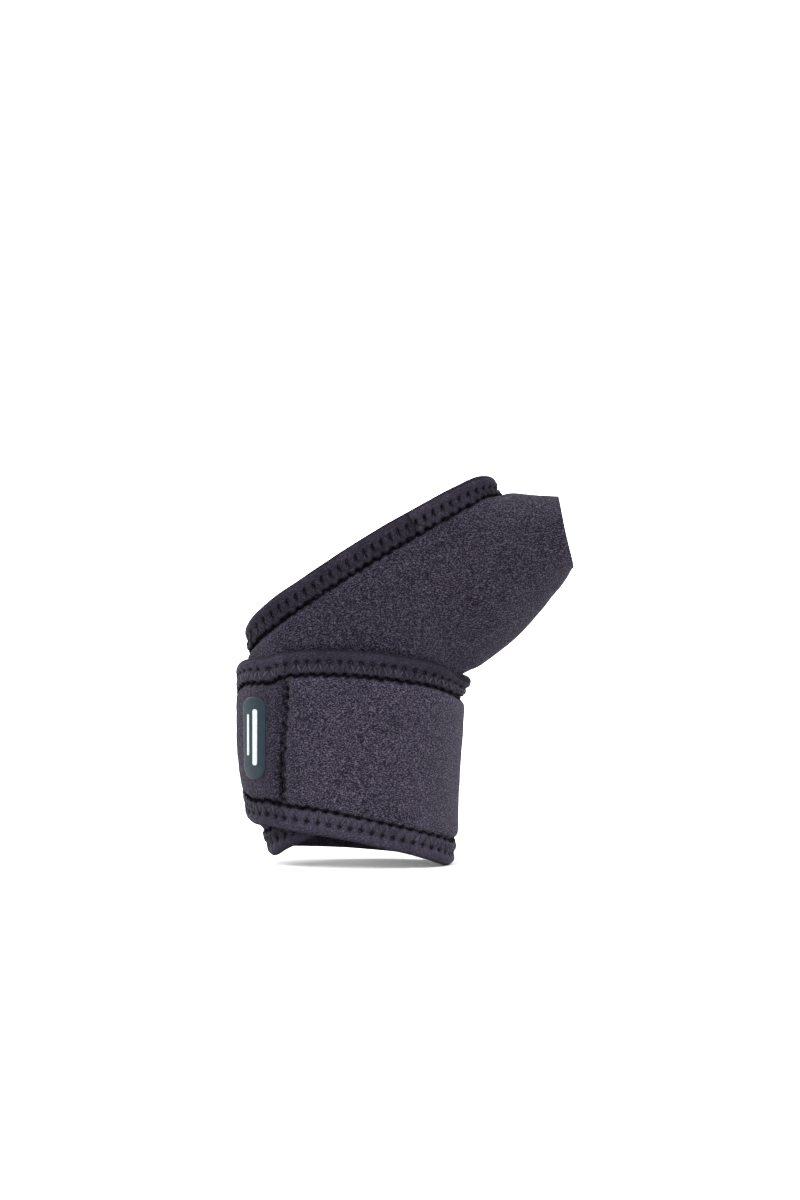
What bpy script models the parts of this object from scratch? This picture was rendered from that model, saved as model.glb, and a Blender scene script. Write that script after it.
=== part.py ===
"""Wrist support brace: one long padded band with a thumb hole, wound round hand and wrist
and closed by a hook tab.

Lengths are millimetres in the shape functions and metres in the meshes. +Z points towards the
fingers, -Y to the back of the hand, +Y to the palm and +X to the thumb side of a left hand.
The finished brace stands on z = 0.
Points of the band are given by a wrap angle in degrees, which keeps growing along the band, and
a height z: 0 thumb side, 90 back of the hand, 180 little-finger side, 270 palm, 360 thumb side
again, 450 back of the wrist, 540 little-finger side again.
"""
import bmesh
import bpy
import numpy as np

MM = 0.001

# ---- layers: inner and outer face, measured outwards from the skin side
FOAM = (0.6, 2.4)
LINING = (0.0, 0.5)
LOOP_CLOTH = (2.5, 3.2)
TAB_FOAM = (1.3, 2.4)
TAB_LINING = (0.9, 1.2)
HOOK = (0.0, 0.8)
# the same layers where the edge tape presses them
FOAM_SEWN = (1.25, 1.75)
LINING_SEWN = (0.85, 1.15)
LOOP_CLOTH_SEWN = (1.85, 2.3)

# ---- edge tape, folded round the cut edge
TAPE_WIDTH = 6.7
TAPE_OUT = 0.9                    # how far the fold stands outside the cut edge
TAPE_FOLD_THICK = 0.55
TAPE_FOLD_OUTSIDE = (0.95, 2.2)   # heights of the fold's outside and inside walls
TAPE_FOLD_INSIDE = (1.25, 1.9)
TAPE_IN = (0.15, 0.75)            # skin-side leg
TAPE_FACE = (2.4, 3.0)            # outer leg
TAPE_JOIN_ANGLE = 42.0            # where the two ends of the tape meet
TAPE_JOIN_GAP = 0.06              # gap between them, as a share of one outline step

# ---- badge
BADGE_SIZE = (8.7, 25.2)
BADGE_CORNER = 3.9
BADGE_THICK = 0.8
BADGE_LIFT = 0.3                  # its back clears the cloth between the cloth's own facets
BADGE_AT = (513.2, 39.6)          # wrap angle, height

# ---- places along the band (wrap angles)
BACK_ANGLE = 90.0                 # the thumb outline joins the two long edges here
HINGE_ANGLE = 395.0
TAB_ANGLE = 496.0
TAB_ROUND_ANGLE = 508.0           # the tab's rounded end starts here
END_ANGLE = 558.0
JOINT_GAP = 0.35                  # half the gap in degrees where a piece hinges on the next
TAB_ROUND_POWER = 2.6
PIVOT_CLEARANCE = 0.1             # the hinge axes stand this far outside the cloth
PIVOT_AXIS_Z = 30.0               # height whose limb axis the pivots are measured from

# ---- mesh counts
ROOT_COLUMNS = 20
OUTLINE_STEPS = 36
ROOT_MIDDLE = 3
CUFF_ROWS = 7
STRAP_COLUMNS = 7
STRAP_MIDDLE = 3
TAB_STEPS = 6
TAB_MIDDLE = 4
BADGE_CORNER_POINTS = 4
PIVOT_SAMPLES = 12

# Distances from the cut edge: where the layers fade to full thickness, and the mesh rows.
BAND_FADE = (TAPE_WIDTH, TAPE_WIDTH + 3.0)
BAND_ROWS = (0.0, *BAND_FADE)
TAB_FADE = (TAPE_WIDTH + 0.1, TAPE_WIDTH + 0.8)
TAB_ROWS = (0.0, TAPE_WIDTH, TAPE_WIDTH + 0.7)
FULL_THICKNESS = 20.0             # any edge distance beyond the fades

MATERIALS = {
    "loop_cloth": dict(colour=(0.052, 0.047, 0.068), roughness=0.95, sheen=0.4),
    "foam": dict(colour=(0.018, 0.018, 0.02), roughness=0.9),
    "jersey": dict(colour=(0.03, 0.03, 0.04), roughness=0.9, sheen=0.2),
    "edge_tape": dict(colour=(0.03, 0.024, 0.034), roughness=0.85, sheen=0.3),
    "hook_tape": dict(colour=(0.012, 0.012, 0.014), roughness=0.5),
    "silicone": dict(colour=(0.035, 0.06, 0.07), roughness=0.45),
}


# ---- curve and vector helpers
def smooth_curve(keys):
    """Smooth curve through (x, y) keys that never overshoots them."""
    xs, ys = np.array(keys, float).T
    widths = np.diff(xs)
    slopes = np.diff(ys) / widths
    tangents = np.zeros(len(xs))
    tangents[0], tangents[-1] = slopes[0], slopes[-1]
    for i in range(1, len(xs) - 1):
        if slopes[i - 1] * slopes[i] > 0:
            before = 2 * widths[i] + widths[i - 1]
            after = widths[i] + 2 * widths[i - 1]
            tangents[i] = (before + after) / (before / slopes[i - 1] + after / slopes[i])

    def curve(x):
        x = np.clip(np.asarray(x, float), xs[0], xs[-1])
        i = np.clip(np.searchsorted(xs, x, side="right") - 1, 0, len(xs) - 2)
        t = (x - xs[i]) / widths[i]
        return ((2 * t**3 - 3 * t**2 + 1) * ys[i]
                + (t**3 - 2 * t**2 + t) * widths[i] * tangents[i]
                + (3 * t**2 - 2 * t**3) * ys[i + 1]
                + (t**3 - t**2) * widths[i] * tangents[i + 1])
    return curve


def catmull(keys, per_span=24):
    """Catmull-Rom curve through the keys."""
    keys = np.array(keys, float)
    keys = np.vstack([2 * keys[0] - keys[1], keys, 2 * keys[-1] - keys[-2]])
    t = np.linspace(0, 1, per_span, endpoint=False)[:, None]
    spans = []
    for i in range(1, len(keys) - 2):
        before, start, end, after = keys[i - 1:i + 3]
        spans.append(0.5 * (2 * start + (end - before) * t
                            + (2 * before - 5 * start + 4 * end - after) * t**2
                            + (3 * start - before - 3 * end + after) * t**3))
    return np.vstack(spans + [keys[-2:-1]])


def smooth_step(start, end, x):
    t = np.clip((np.asarray(x, float) - start) / (end - start), 0, 1)
    return t * t * (3 - 2 * t)


def dot(first, second):
    return (first * second).sum(-1)


def unit(vector):
    return vector / np.maximum(np.linalg.norm(vector, axis=-1, keepdims=True), 1e-12)


def bisect(inside, origin, ray, far):
    """Brackets the distance along ray at which inside(points) turns false."""
    near, beyond = np.zeros(ray.shape[:-1]), np.full(ray.shape[:-1], far)
    for _ in range(34):
        mid = (near + beyond) / 2
        within = inside(origin + mid[..., None] * ray)
        near, beyond = np.where(within, mid, near), np.where(within, beyond, mid)
    return near, beyond


# ---- the limb: the space that hand and wrist fill
# height, little-finger edge x, thumb edge x, half depth
LIMB = (
    (-8, -36.4, 7.0, 18.6), (0, -37.6, 7.7, 18.6), (5, -39.6, 8.5, 18.6),
    (10, -41.2, 9.0, 18.6), (20, -42.9, 9.2, 18.6), (40, -45.0, 10.4, 18.3),
    (50, -45.1, 11.1, 18.1), (57, -45.2, 10.8, 17.9), (61, -45.3, 11.9, 17.7),
    (70, -46.3, 13.8, 17.2), (80, -47.8, 16.4, 16.4), (95, -49.8, 20.6, 15.0),
    (110, -50.6, 24.4, 13.8), (126, -50.8, 26.4, 12.8))
left_of, right_of, depth_of = (
    smooth_curve([(row[0], row[j]) for row in LIMB]) for j in (1, 2, 3))
ROUND = 2.3                       # 2 is an ellipse; a little more is a rounder-cornered oval

# The thumb cuff: a flattened cone on its own axis, which points out of the opening.
CUFF_CENTRE = np.array([49.3, 1.5, 102.3])
CUFF_AXIS = np.array([0.946, 0.0, 0.324])
CUFF_UP = np.array([-CUFF_AXIS[2], 0.0, CUFF_AXIS[0]])
OPENING_NORMAL = np.array([0.983, 0.0, 0.185])    # leans a little less than the axis
OPENING_UP = np.array([-OPENING_NORMAL[2], 0.0, OPENING_NORMAL[0]])
CUFF_START, CUFF_END = -1.5, 76   # along the axis, from the opening back into the hand
CUFF_TIP = 9.0                    # length of the rounded tip beyond the start
# Half sizes of the cuff: (distance back from the opening, half size)
cuff_upper = smooth_curve((
    (CUFF_START, 8.4), (6, 11.4), (13, 14.6), (25, 18.5), (40, 21), (60, 20), (CUFF_END, 8)))
cuff_lower = smooth_curve((
    (CUFF_START, 6.9), (1.9, 7.9), (4.9, 10.2), (8, 12.4), (11.6, 14.5), (14.9, 16.6),
    (18.5, 18.6), (21.9, 20.6), (26, 22.6), (30.5, 24.3), (35.3, 25.9), (40, 27.0),
    (46, 27.0), (60, 21), (CUFF_END, 8)))
cuff_depth = smooth_curve((
    (CUFF_START, 8.3), (8, 9.9), (20, 12.4), (30, 13.2), (40, 12.4), (50, 9.6), (60, 5.5),
    (70, 2.0), (CUFF_END, 1.0)))
BLEND = 8.0                       # radius-like size of the fillet between hand and thumb


def oval_sum(x, y, half_x, half_y):
    return np.abs(x / half_x)**ROUND + np.abs(y / half_y)**ROUND


def oval_distance(x, y, half_x, half_y):
    """Distance outside an oval, measured along the line from its centre."""
    ratio = oval_sum(x, y, half_x, half_y)**(1 / ROUND)
    reach = np.hypot(x, y)
    return reach - reach / np.maximum(ratio, 1e-9)


def limb_section(z):
    """Centre x, half width and half depth of the limb at height z."""
    left, right = left_of(z), right_of(z)
    return (left + right) / 2, (right - left) / 2, depth_of(z)


def limb_distance(points):
    centre, half_width, half_depth = limb_section(points[..., 2])
    return oval_distance(points[..., 0] - centre, points[..., 1], half_width, half_depth)


def cuff_distance(points):
    offset = points - CUFF_CENTRE
    back, up = -(offset @ CUFF_AXIS), offset @ CUFF_UP
    tip = np.sqrt(np.clip(1 - ((CUFF_START - back) / CUFF_TIP)**2, 1e-4, 1))
    scale = np.where(back < CUFF_START, tip, 1.0)
    half_up = np.where(up > 0, cuff_upper(back), cuff_lower(back)) * scale
    past_ends = (np.maximum(back - CUFF_END, 0)
                 + np.maximum(CUFF_START - CUFF_TIP - back, 0))
    return oval_distance(up, offset[..., 1], half_up, cuff_depth(back) * scale) + past_ends


def form_distance(points):
    """Limb and cuff joined with a fillet."""
    limb, cuff = limb_distance(points), cuff_distance(points)
    overlap = np.maximum(BLEND - np.abs(limb - cuff), 0) / BLEND
    return np.minimum(limb, cuff) - overlap * overlap * BLEND / 4


# ---- the wrap: the spiral surface on which the skin side of the band lies
TURN_GAP = 4.1                    # the second turn's inner face stands this far off the wrist
LIFT_ANGLES = (205, 268)          # the band rises to that gap between these wrap angles
FAN = np.array([2.0, 0.0, 86.0])  # rays start here near the thumb, on the limb axis elsewhere
FAN_ANGLE = 2                     # wrap angle in the middle of the fan
FAN_FADE = (25, 80)               # degrees from there over which the ray start moves
FAR = 110.0                       # longest ray to the wrap


def lift(angle):
    """How far the band's inner face stands off the limb."""
    return TURN_GAP * smooth_step(*LIFT_ANGLES, angle)


def angle_of(points, hint):
    """Wrap angle of the points, on the turn nearest to hint."""
    centre = limb_section(points[..., 2])[0]
    angle = np.degrees(np.arctan2(-points[..., 1], points[..., 0] - centre))
    return angle + 360 * np.round((hint - angle) / 360)


def wrap_distance(points, hint):
    return form_distance(points) - lift(angle_of(points, hint))


def gradient(points, hint, delta=0.06):
    differences = [wrap_distance(points + move, hint) - wrap_distance(points - move, hint)
                   for move in delta * np.eye(3)]
    return np.stack(differences, -1) / (2 * delta)


def surface_normal(points, hint):
    return unit(gradient(points, hint))


def project(points, hint):
    """Moves points onto the wrap."""
    for _ in range(5):
        slope = gradient(points, hint)
        travel = wrap_distance(points, hint) / np.maximum(dot(slope, slope), 1e-9)
        points = points - travel[..., None] * slope
    return points


def cast(origin, ray, hint):
    """The point where each ray leaves the wrap."""
    near, beyond = bisect(lambda points: wrap_distance(points, hint) < 0, origin, ray, FAR)
    return origin + ((near + beyond) / 2)[..., None] * ray


def place(angle, z):
    """The points of the wrap at wrap angle and height."""
    angle, z = np.broadcast_arrays(np.asarray(angle, float), np.asarray(z, float))
    x_part, y_part = np.cos(np.radians(angle)), -np.sin(np.radians(angle))
    centre, half_width, half_depth = limb_section(z)
    radius = oval_sum(x_part, y_part, half_width, half_depth)**(-1 / ROUND)
    target = np.stack([centre + radius * x_part, radius * y_part, z], -1)
    fan_share = (1 - smooth_step(*FAN_FADE, np.abs(angle - FAN_ANGLE)))[..., None]
    origin = (1 - fan_share) * np.stack([centre, 0 * centre, z], -1) + fan_share * FAN
    return cast(origin, unit(target - origin), angle)


def place_with_normals(outline):
    """Points and outward normals at (wrap angle, height) pairs."""
    points = place(outline[..., 0], outline[..., 1])
    return points, surface_normal(points, outline[..., 0])


# ---- outlines of the band
# Heights of the two long edges: (wrap angle, height)
top_edge = smooth_curve((
    (90, 99.1), (100, 97.3), (110, 95.35), (120, 93.0), (130, 90.3), (140, 86.9), (150, 83.2),
    (160, 78.7), (165, 76.7), (170, 74.9), (180, 72.6), (195, 70.9), (215, 69.4), (250, 67.2),
    (290, 65.0), (330, 61.2), (352, 58.4), (362, 57.9), (370, 58.2), (380, 60.0), (390, 61.7),
    (400, 62.9), (410, 63.7), (420, 64.4), (430, 64.9), (440, 65.2), (460, 65.7), (480, 65.7),
    (500, 64.7), (510, 62.9), (520, 61.0), (530, 59.6), (545, 58.8), (560, 58.4), (575, 58.2)))
bottom_edge = smooth_curve((
    (90, 17.8), (100, 15.5), (110, 13.3), (120, 10.9), (130, 9.2), (140, 7.6), (150, 6.1),
    (158, 4.9), (166, 4.2), (173, 4.1), (182, 4.8), (200, 5.6), (240, 4.6), (290, 3.0),
    (330, 1.6), (352, 0.8), (374, 0.8), (385, 1.6), (392, 2.5), (400, 3.5), (410, 4.8),
    (420, 5.9), (430, 7.0), (440, 8.1), (450, 9.0), (460, 9.8), (470, 10.6), (480, 11.3),
    (490, 12.0), (500, 12.7), (510, 13.6), (520, 14.8), (530, 16.1), (545, 17.8), (560, 18.8),
    (575, 19.0)))
# The band's start, from the top edge at the back of the hand over the web of the thumb, round
# the palm flap and thenar to the bottom edge: (wrap angle, height)
THUMB_OUTLINE = (
    (90, 99.1), (80, 100.8), (70, 102.55), (60, 104.45), (50, 106.5), (40, 108.95),
    (30, 112.1), (20, 116.0), (10, 119.6), (0, 118.3), (-10, 112.4), (-22, 104.8),
    (-38, 98.4), (-54, 93.0), (-66, 88.0), (-74, 80.5), (-77, 71.0), (-76, 61.0),
    (-70, 52.5), (-58, 47.0), (-40, 44.5), (-20, 43.6), (0, 42.0), (20, 38.0),
    (40, 33.0), (60, 26.6), (75, 21.9), (90, 17.8))


def inset(outline, direction, distance, steps=4, delta=0.4):
    """Moves outline points over the surface, starting along direction."""
    angle, z = outline.T
    for _ in range(steps):
        by_angle = (place(angle + delta, z) - place(angle - delta, z)) / (2 * delta)
        by_height = (place(angle, z + delta) - place(angle, z - delta)) / (2 * delta)
        normals = unit(np.cross(by_angle, by_height))
        direction = unit(direction - dot(direction, normals)[..., None] * normals)
        # Solve for the change of angle and height that moves the point along direction.
        aa, ah, hh = dot(by_angle, by_angle), dot(by_angle, by_height), dot(by_height, by_height)
        along_angle, along_height = dot(by_angle, direction), dot(by_height, direction)
        det = aa * hh - ah * ah
        angle, z = (angle + (hh * along_angle - ah * along_height) / det * distance / steps,
                    z + (aa * along_height - ah * along_angle) / det * distance / steps)
    return np.stack([angle, z], -1)


def even(outline, steps):
    """Resamples the outline evenly, by position, wrap angle and height taken together."""
    rows = np.hstack([place(outline[:, 0], outline[:, 1]), outline])
    lengths = np.linalg.norm(np.diff(rows, axis=0), axis=1)
    travel = np.concatenate([[0], np.cumsum(lengths)])
    wanted = np.linspace(0, travel[-1], steps + 1)
    return np.stack([np.interp(wanted, travel, column) for column in outline.T], -1)


def edge_strip(outline, rows, side, end_angle):
    """The outline and its copies moved inwards by rows: array (station, row, 2), and the
    inward direction. Both ends stay on end_angle, so that the end face is straight."""
    points, normals = place_with_normals(outline)
    tangents = unit(np.gradient(points, axis=0))
    inward = unit(np.cross(tangents, normals)) * side
    strip = np.stack([outline] + [inset(outline, inward, row) for row in rows[1:]], 1)
    for k in range(1, len(rows)):
        strip[0, k] = (end_angle, outline[0, 1] - rows[k])
        strip[-1, k] = (end_angle, outline[-1, 1] + rows[k])
    return strip, inward


# ---- sheets and the solids made from them
class Sheet:
    """Points of the wrap as (wrap angle, height), their distance to the sewn edge, and faces."""

    def __init__(self):
        self.outline, self.edge_distance, self.faces, self.index = [], [], [], {}

    def add(self, pair, edge_distance):
        key = (round(float(pair[0]), 5), round(float(pair[1]), 5))
        if key not in self.index:
            self.index[key] = len(self.outline)
            self.outline.append((float(pair[0]), float(pair[1])))
            self.edge_distance.append(float(edge_distance))
        return self.index[key]

    def grid(self, pairs, edge_distance, flip=False):
        """Adds a patch of (rows, columns, 2) pairs, sharing the points it has in common."""
        row_count, column_count = pairs.shape[:2]
        distance = np.broadcast_to(edge_distance, (row_count, column_count))
        index = [[self.add(pairs[i, j], distance[i, j]) for j in range(column_count)]
                 for i in range(row_count)]
        for i in range(row_count - 1):
            for j in range(column_count - 1):
                a, b, c, d = index[i][j], index[i + 1][j], index[i + 1][j + 1], index[i][j + 1]
                for face in ((a, b, c), (a, c, d)):
                    self.faces.append(face[::-1] if flip else face)


def layer(sheet, full, sewn, fade):
    """Closed solid between two heights over the sheet, thinner where the tape holds it."""
    points, normals = place_with_normals(np.array(sheet.outline))
    share = smooth_step(*fade, np.array(sheet.edge_distance))[:, None]
    vertices = np.vstack([points + (sewn[j] + (full[j] - sewn[j]) * share) * normals
                          for j in (0, 1)])
    count = len(points)
    faces = [tuple(i + count for i in face) for face in sheet.faces]
    faces += [face[::-1] for face in sheet.faces]
    # A dictionary keeps the sides in order; those used one way only are on the border.
    sides = {(a, b): True for face in sheet.faces
             for a, b in zip(face, face[1:] + face[:1]) if a != b}
    faces += [(b + count, a + count, a, b) for a, b in sides if (b, a) not in sides]
    return vertices, faces


def cloth_layers(prefix, sheet, foam, lining, fade):
    return [
        (prefix + "_loop_cloth", layer(sheet, LOOP_CLOTH, LOOP_CLOTH_SEWN, fade), "loop_cloth"),
        (prefix + "_foam", layer(sheet, foam, FOAM_SEWN, fade), "foam"),
        (prefix + "_lining", layer(sheet, lining, LINING_SEWN, fade), "jersey"),
    ]


def sweep(sections, from_start):
    """Closed solid through equal closed sections, array (station, point, 3). from_start says
    for each section side whether its diagonal starts from the side's first point."""
    stations, count, _ = sections.shape
    faces = [tuple(range(count))[::-1],
             tuple((stations - 1) * count + i for i in range(count))]
    for i in range(stations - 1):
        for j in range(count):
            a, b = i * count + j, i * count + (j + 1) % count
            if from_start[j]:
                faces += [(a, b, b + count), (a, b + count, a + count)]
            else:
                faces += [(a, b, a + count), (b, b + count, a + count)]
    return sections.reshape(-1, 3), faces


FOLD_RIM = TAPE_OUT - TAPE_FOLD_THICK
# Tape section: on the inner row (else on the cut edge), distance outwards, height
TAPE_SECTION = (
    (True, 0, TAPE_IN[0]),
    (False, 0, TAPE_IN[0]),
    (False, TAPE_OUT, TAPE_FOLD_OUTSIDE[0]),
    (False, TAPE_OUT, TAPE_FOLD_OUTSIDE[1]),
    (False, 0, TAPE_FACE[1]),
    (True, 0, TAPE_FACE[1]),
    (True, 0, TAPE_FACE[0]),
    (False, 0, TAPE_FACE[0]),
    (False, FOLD_RIM, TAPE_FOLD_INSIDE[1]),
    (False, FOLD_RIM, TAPE_FOLD_INSIDE[0]),
    (False, 0, TAPE_IN[1]),
    (True, 0, TAPE_IN[1]))


def tape(strip, inward, from_edge=True):
    """Folded edge tape over the strip's first two rows: two flat legs joined round the cut
    edge. The legs are split along the same diagonals as the sheet, so the two never cross."""
    edge, inner = place_with_normals(strip[:, 0]), place_with_normals(strip[:, 1])
    corners = []
    for on_inner, out, height in TAPE_SECTION:
        points, normals = inner if on_inner else edge
        corners.append(points - out * inward + height * normals)
    deep = [row[0] for row in TAPE_SECTION]
    from_start = [here == after or here != from_edge
                  for here, after in zip(deep, deep[1:] + deep[:1])]
    return sweep(np.stack(corners, 1), from_start)


# ---- first turn and palm turn
HEIGHT_PER_DEGREE = 0.6           # mm per degree, to compare wrap angles with heights


def directions_round(centre, outline):
    """Directions in degrees from centre to the outline points."""
    return np.degrees(np.arctan2(outline[:, 1] - centre[1],
                                 (outline[:, 0] - centre[0]) * HEIGHT_PER_DEGREE))


def thumb_hole_rim(loop):
    """Points of the thumb hole's rim facing the loop's points. The rim lies in the opening's
    plane."""
    turn = np.radians(np.linspace(0, 360, 361)[:-1])
    no_turn = 0 * turn
    rays = (np.cos(turn)[:, None] * OPENING_UP
            + np.sin(turn)[:, None] * np.array([0.0, -1.0, 0.0]))
    rim = cast(CUFF_CENTRE + 0 * rays, rays, no_turn)
    # Where the line from the fan's start to the rim leaves the limb gives angle and height.
    to_rim = unit(rim - FAN)
    near, _ = bisect(lambda points: limb_distance(points) < 0, FAN, to_rim, 60.0)
    on_limb = FAN + near[:, None] * to_rim
    pairs = np.stack([angle_of(on_limb, no_turn), on_limb[:, 2]], -1)
    centre = np.array([pairs[:, 0].mean(), pairs[:, 1].mean()])
    directions = directions_round(centre, pairs) % 360
    order = np.argsort(directions)
    directions, pairs = directions[order], pairs[order]
    directions = np.concatenate([directions[-1:] - 360, directions, directions[:1] + 360])
    pairs = np.concatenate([pairs[-1:], pairs, pairs[:1]])
    wanted = directions_round(centre, loop) % 360
    return np.stack([np.interp(wanted, directions, column) for column in pairs.T], -1)


def add_annulus(sheet, outer, ring, rows, samples=40):
    """Fills between a closed loop and the thumb hole with lines evenly spaced over the
    surface."""
    samples_at = np.linspace(0, 1, samples)
    t = samples_at[None, :, None]
    pairs = outer[:, None] * (1 - t) + ring[:, None] * t
    points = place(pairs[..., 0], pairs[..., 1])
    lengths = np.linalg.norm(np.diff(points, axis=1), axis=-1)
    travel = np.concatenate([np.zeros((len(outer), 1)), np.cumsum(lengths, 1)], 1)
    wanted = np.linspace(0, 1, rows + 1)
    shares = np.stack([np.interp(wanted * line[-1], line, samples_at) for line in travel])
    # Neighbouring lines share their spacing, so that no face between them folds.
    reach = max(1, len(outer) // 16)
    shares = sum(np.roll(shares, k, axis=0) * (reach + 1 - abs(k))
                 for k in range(-reach, reach + 1)) / (reach + 1)**2
    grid = outer[:, None] * (1 - shares[..., None]) + ring[:, None] * shares[..., None]
    grid[:, 0], grid[:, -1] = outer, ring
    sheet.grid(np.concatenate([grid, grid[:1]]), FULL_THICKNESS)


def root_sheet(end_angle):
    """From the palm flap round thumb, hand and wrist to end_angle. Returns the sheet, its edge
    strip and the inward direction."""
    angles = np.linspace(BACK_ANGLE, end_angle, ROOT_COLUMNS + 1)
    top = np.stack([angles, top_edge(angles)], -1)[::-1]
    bottom = np.stack([angles, bottom_edge(angles)], -1)
    thumb = even(catmull(THUMB_OUTLINE), OUTLINE_STEPS)
    outline = np.vstack([top, thumb[1:-1], bottom])
    strip, inward = edge_strip(outline, BAND_ROWS, 1.0, end_angle)
    sheet = Sheet()
    sheet.grid(strip, BAND_ROWS)

    inner = strip[:, -1]
    upper, lower = inner[:ROOT_COLUMNS + 1][::-1], inner[-ROOT_COLUMNS - 1:]
    t = np.linspace(0, 1, ROOT_MIDDLE + 1)[None, :, None]
    middle = upper[:, None] * (1 - t) + lower[:, None] * t
    sheet.grid(middle, FULL_THICKNESS, flip=True)

    loop = np.vstack([inner[ROOT_COLUMNS:len(inner) - ROOT_COLUMNS], middle[0, 1:-1][::-1]])
    add_annulus(sheet, loop, thumb_hole_rim(loop), CUFF_ROWS)
    return sheet, strip, inward


def wrap_pieces():
    sheet, strip, inward = root_sheet(HINGE_ANGLE - JOINT_GAP)
    # The tape starts and ends where its two ends meet on the back of the hand.
    candidates = strip[ROOT_COLUMNS:ROOT_COLUMNS + OUTLINE_STEPS // 3, 0, 0]
    join = ROOT_COLUMNS + int(np.argmin(np.abs(candidates - TAPE_JOIN_ANGLE)))
    upper, lower = strip[:join + 1], strip[join:].copy()
    lower[0] += (lower[1] - lower[0]) * TAPE_JOIN_GAP
    return cloth_layers("wrap", sheet, FOAM, LINING, BAND_FADE) + [
        ("upper_edge_tape", tape(upper, inward[:join + 1]), "edge_tape"),
        ("lower_edge_tape", tape(lower, inward[join:]), "edge_tape"),
    ]


# ---- closing strap
def strap_sheet(angles):
    columns = []
    for angle in angles:
        top, bottom = float(top_edge(angle)), float(bottom_edge(angle))
        middle = np.linspace(top - BAND_ROWS[-1], bottom + BAND_ROWS[-1], STRAP_MIDDLE + 1)
        heights = ([top - row for row in BAND_ROWS] + list(middle[1:-1])
                   + [bottom + row for row in BAND_ROWS[::-1]])
        columns.append([(angle, z) for z in heights])
    sheet = Sheet()
    sheet.grid(np.array(columns),
               BAND_ROWS + (FULL_THICKNESS,) * (STRAP_MIDDLE - 1) + BAND_ROWS[::-1])
    return sheet


def strap_tape(angles, edge, side):
    """Tape along one long edge; side is the sign of z that points into the strap."""
    heights = edge(angles)
    strip = np.stack([np.stack([angles, heights], -1),
                      np.stack([angles, heights + side * TAPE_WIDTH], -1)], 1)
    inward = np.tile(np.array([0.0, 0.0, float(side)]), (len(angles), 1))
    return tape(strip, inward, from_edge=side < 0)


def strap_pieces():
    angles = np.linspace(HINGE_ANGLE + JOINT_GAP, TAB_ANGLE - JOINT_GAP, STRAP_COLUMNS + 1)
    return cloth_layers("strap", strap_sheet(angles), FOAM, LINING, BAND_FADE) + [
        ("strap_top_tape", strap_tape(angles, top_edge, -1), "edge_tape"),
        ("strap_bottom_tape", strap_tape(angles, bottom_edge, 1), "edge_tape"),
    ]


# ---- hook tab
def tab_outline(start_angle):
    """Along the top edge, round the tab's end and back along the bottom edge."""
    top_z, bottom_z = float(top_edge(TAB_ROUND_ANGLE)), float(bottom_edge(TAB_ROUND_ANGLE))
    angles = np.linspace(start_angle, TAB_ROUND_ANGLE, 12)[:-1]
    top = np.stack([angles, top_edge(angles)], -1)
    bottom = np.stack([angles, bottom_edge(angles)], -1)[::-1]
    turn = np.radians(np.linspace(90, -90, 60))
    along, up = np.cos(turn), np.sin(turn)
    power = 2 / TAB_ROUND_POWER
    end_angles = TAB_ROUND_ANGLE + (END_ANGLE - TAB_ROUND_ANGLE) * np.abs(along)**power
    end_heights = ((top_z + bottom_z) / 2
                   + (top_z - bottom_z) / 2 * np.sign(up) * np.abs(up)**power)
    return np.vstack([top, np.stack([end_angles, end_heights], -1), bottom])


def coons(top, bottom, left, right):
    """Fills four boundary curves; left joins their first points and right their last."""
    s = np.linspace(0, 1, len(top))[:, None, None]
    t = np.linspace(0, 1, len(left))[None, :, None]
    patch = ((1 - t) * top[:, None] + t * bottom[:, None]
             + (1 - s) * left[None] + s * right[None]
             - (1 - s) * (1 - t) * top[0] - s * (1 - t) * top[-1]
             - (1 - s) * t * bottom[0] - s * t * bottom[-1])
    # The borders are set exactly, so that the sheet shares their points with the strip.
    patch[:, 0], patch[:, -1], patch[0], patch[-1] = top, bottom, left, right
    return patch


def tab_pieces():
    start_angle = TAB_ANGLE + JOINT_GAP
    outline = even(tab_outline(start_angle), 2 * TAB_STEPS + TAB_MIDDLE)
    strip, inward = edge_strip(outline, TAB_ROWS, -1.0, start_angle)
    sheet = Sheet()
    sheet.grid(strip, TAB_ROWS)

    inner = strip[:, -1]
    corner = TAB_STEPS + TAB_MIDDLE
    top, right, bottom = inner[:TAB_STEPS + 1], inner[TAB_STEPS:corner + 1], inner[corner:][::-1]
    left = np.stack([np.full(TAB_MIDDLE + 1, start_angle),
                     np.linspace(top[0, 1], bottom[0, 1], TAB_MIDDLE + 1)], -1)
    patch = coons(top, bottom, left, right)
    sheet.grid(patch, FULL_THICKNESS)
    hook_sheet = Sheet()
    hook_sheet.grid(patch, FULL_THICKNESS)
    return cloth_layers("tab", sheet, TAB_FOAM, TAB_LINING, TAB_FADE) + [
        ("tab_edge_tape", tape(strip, inward), "edge_tape"),
        ("hook_patch", layer(hook_sheet, HOOK, HOOK, BAND_FADE), "hook_tape"),
        ("badge", badge(), "silicone"),
    ]


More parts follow.
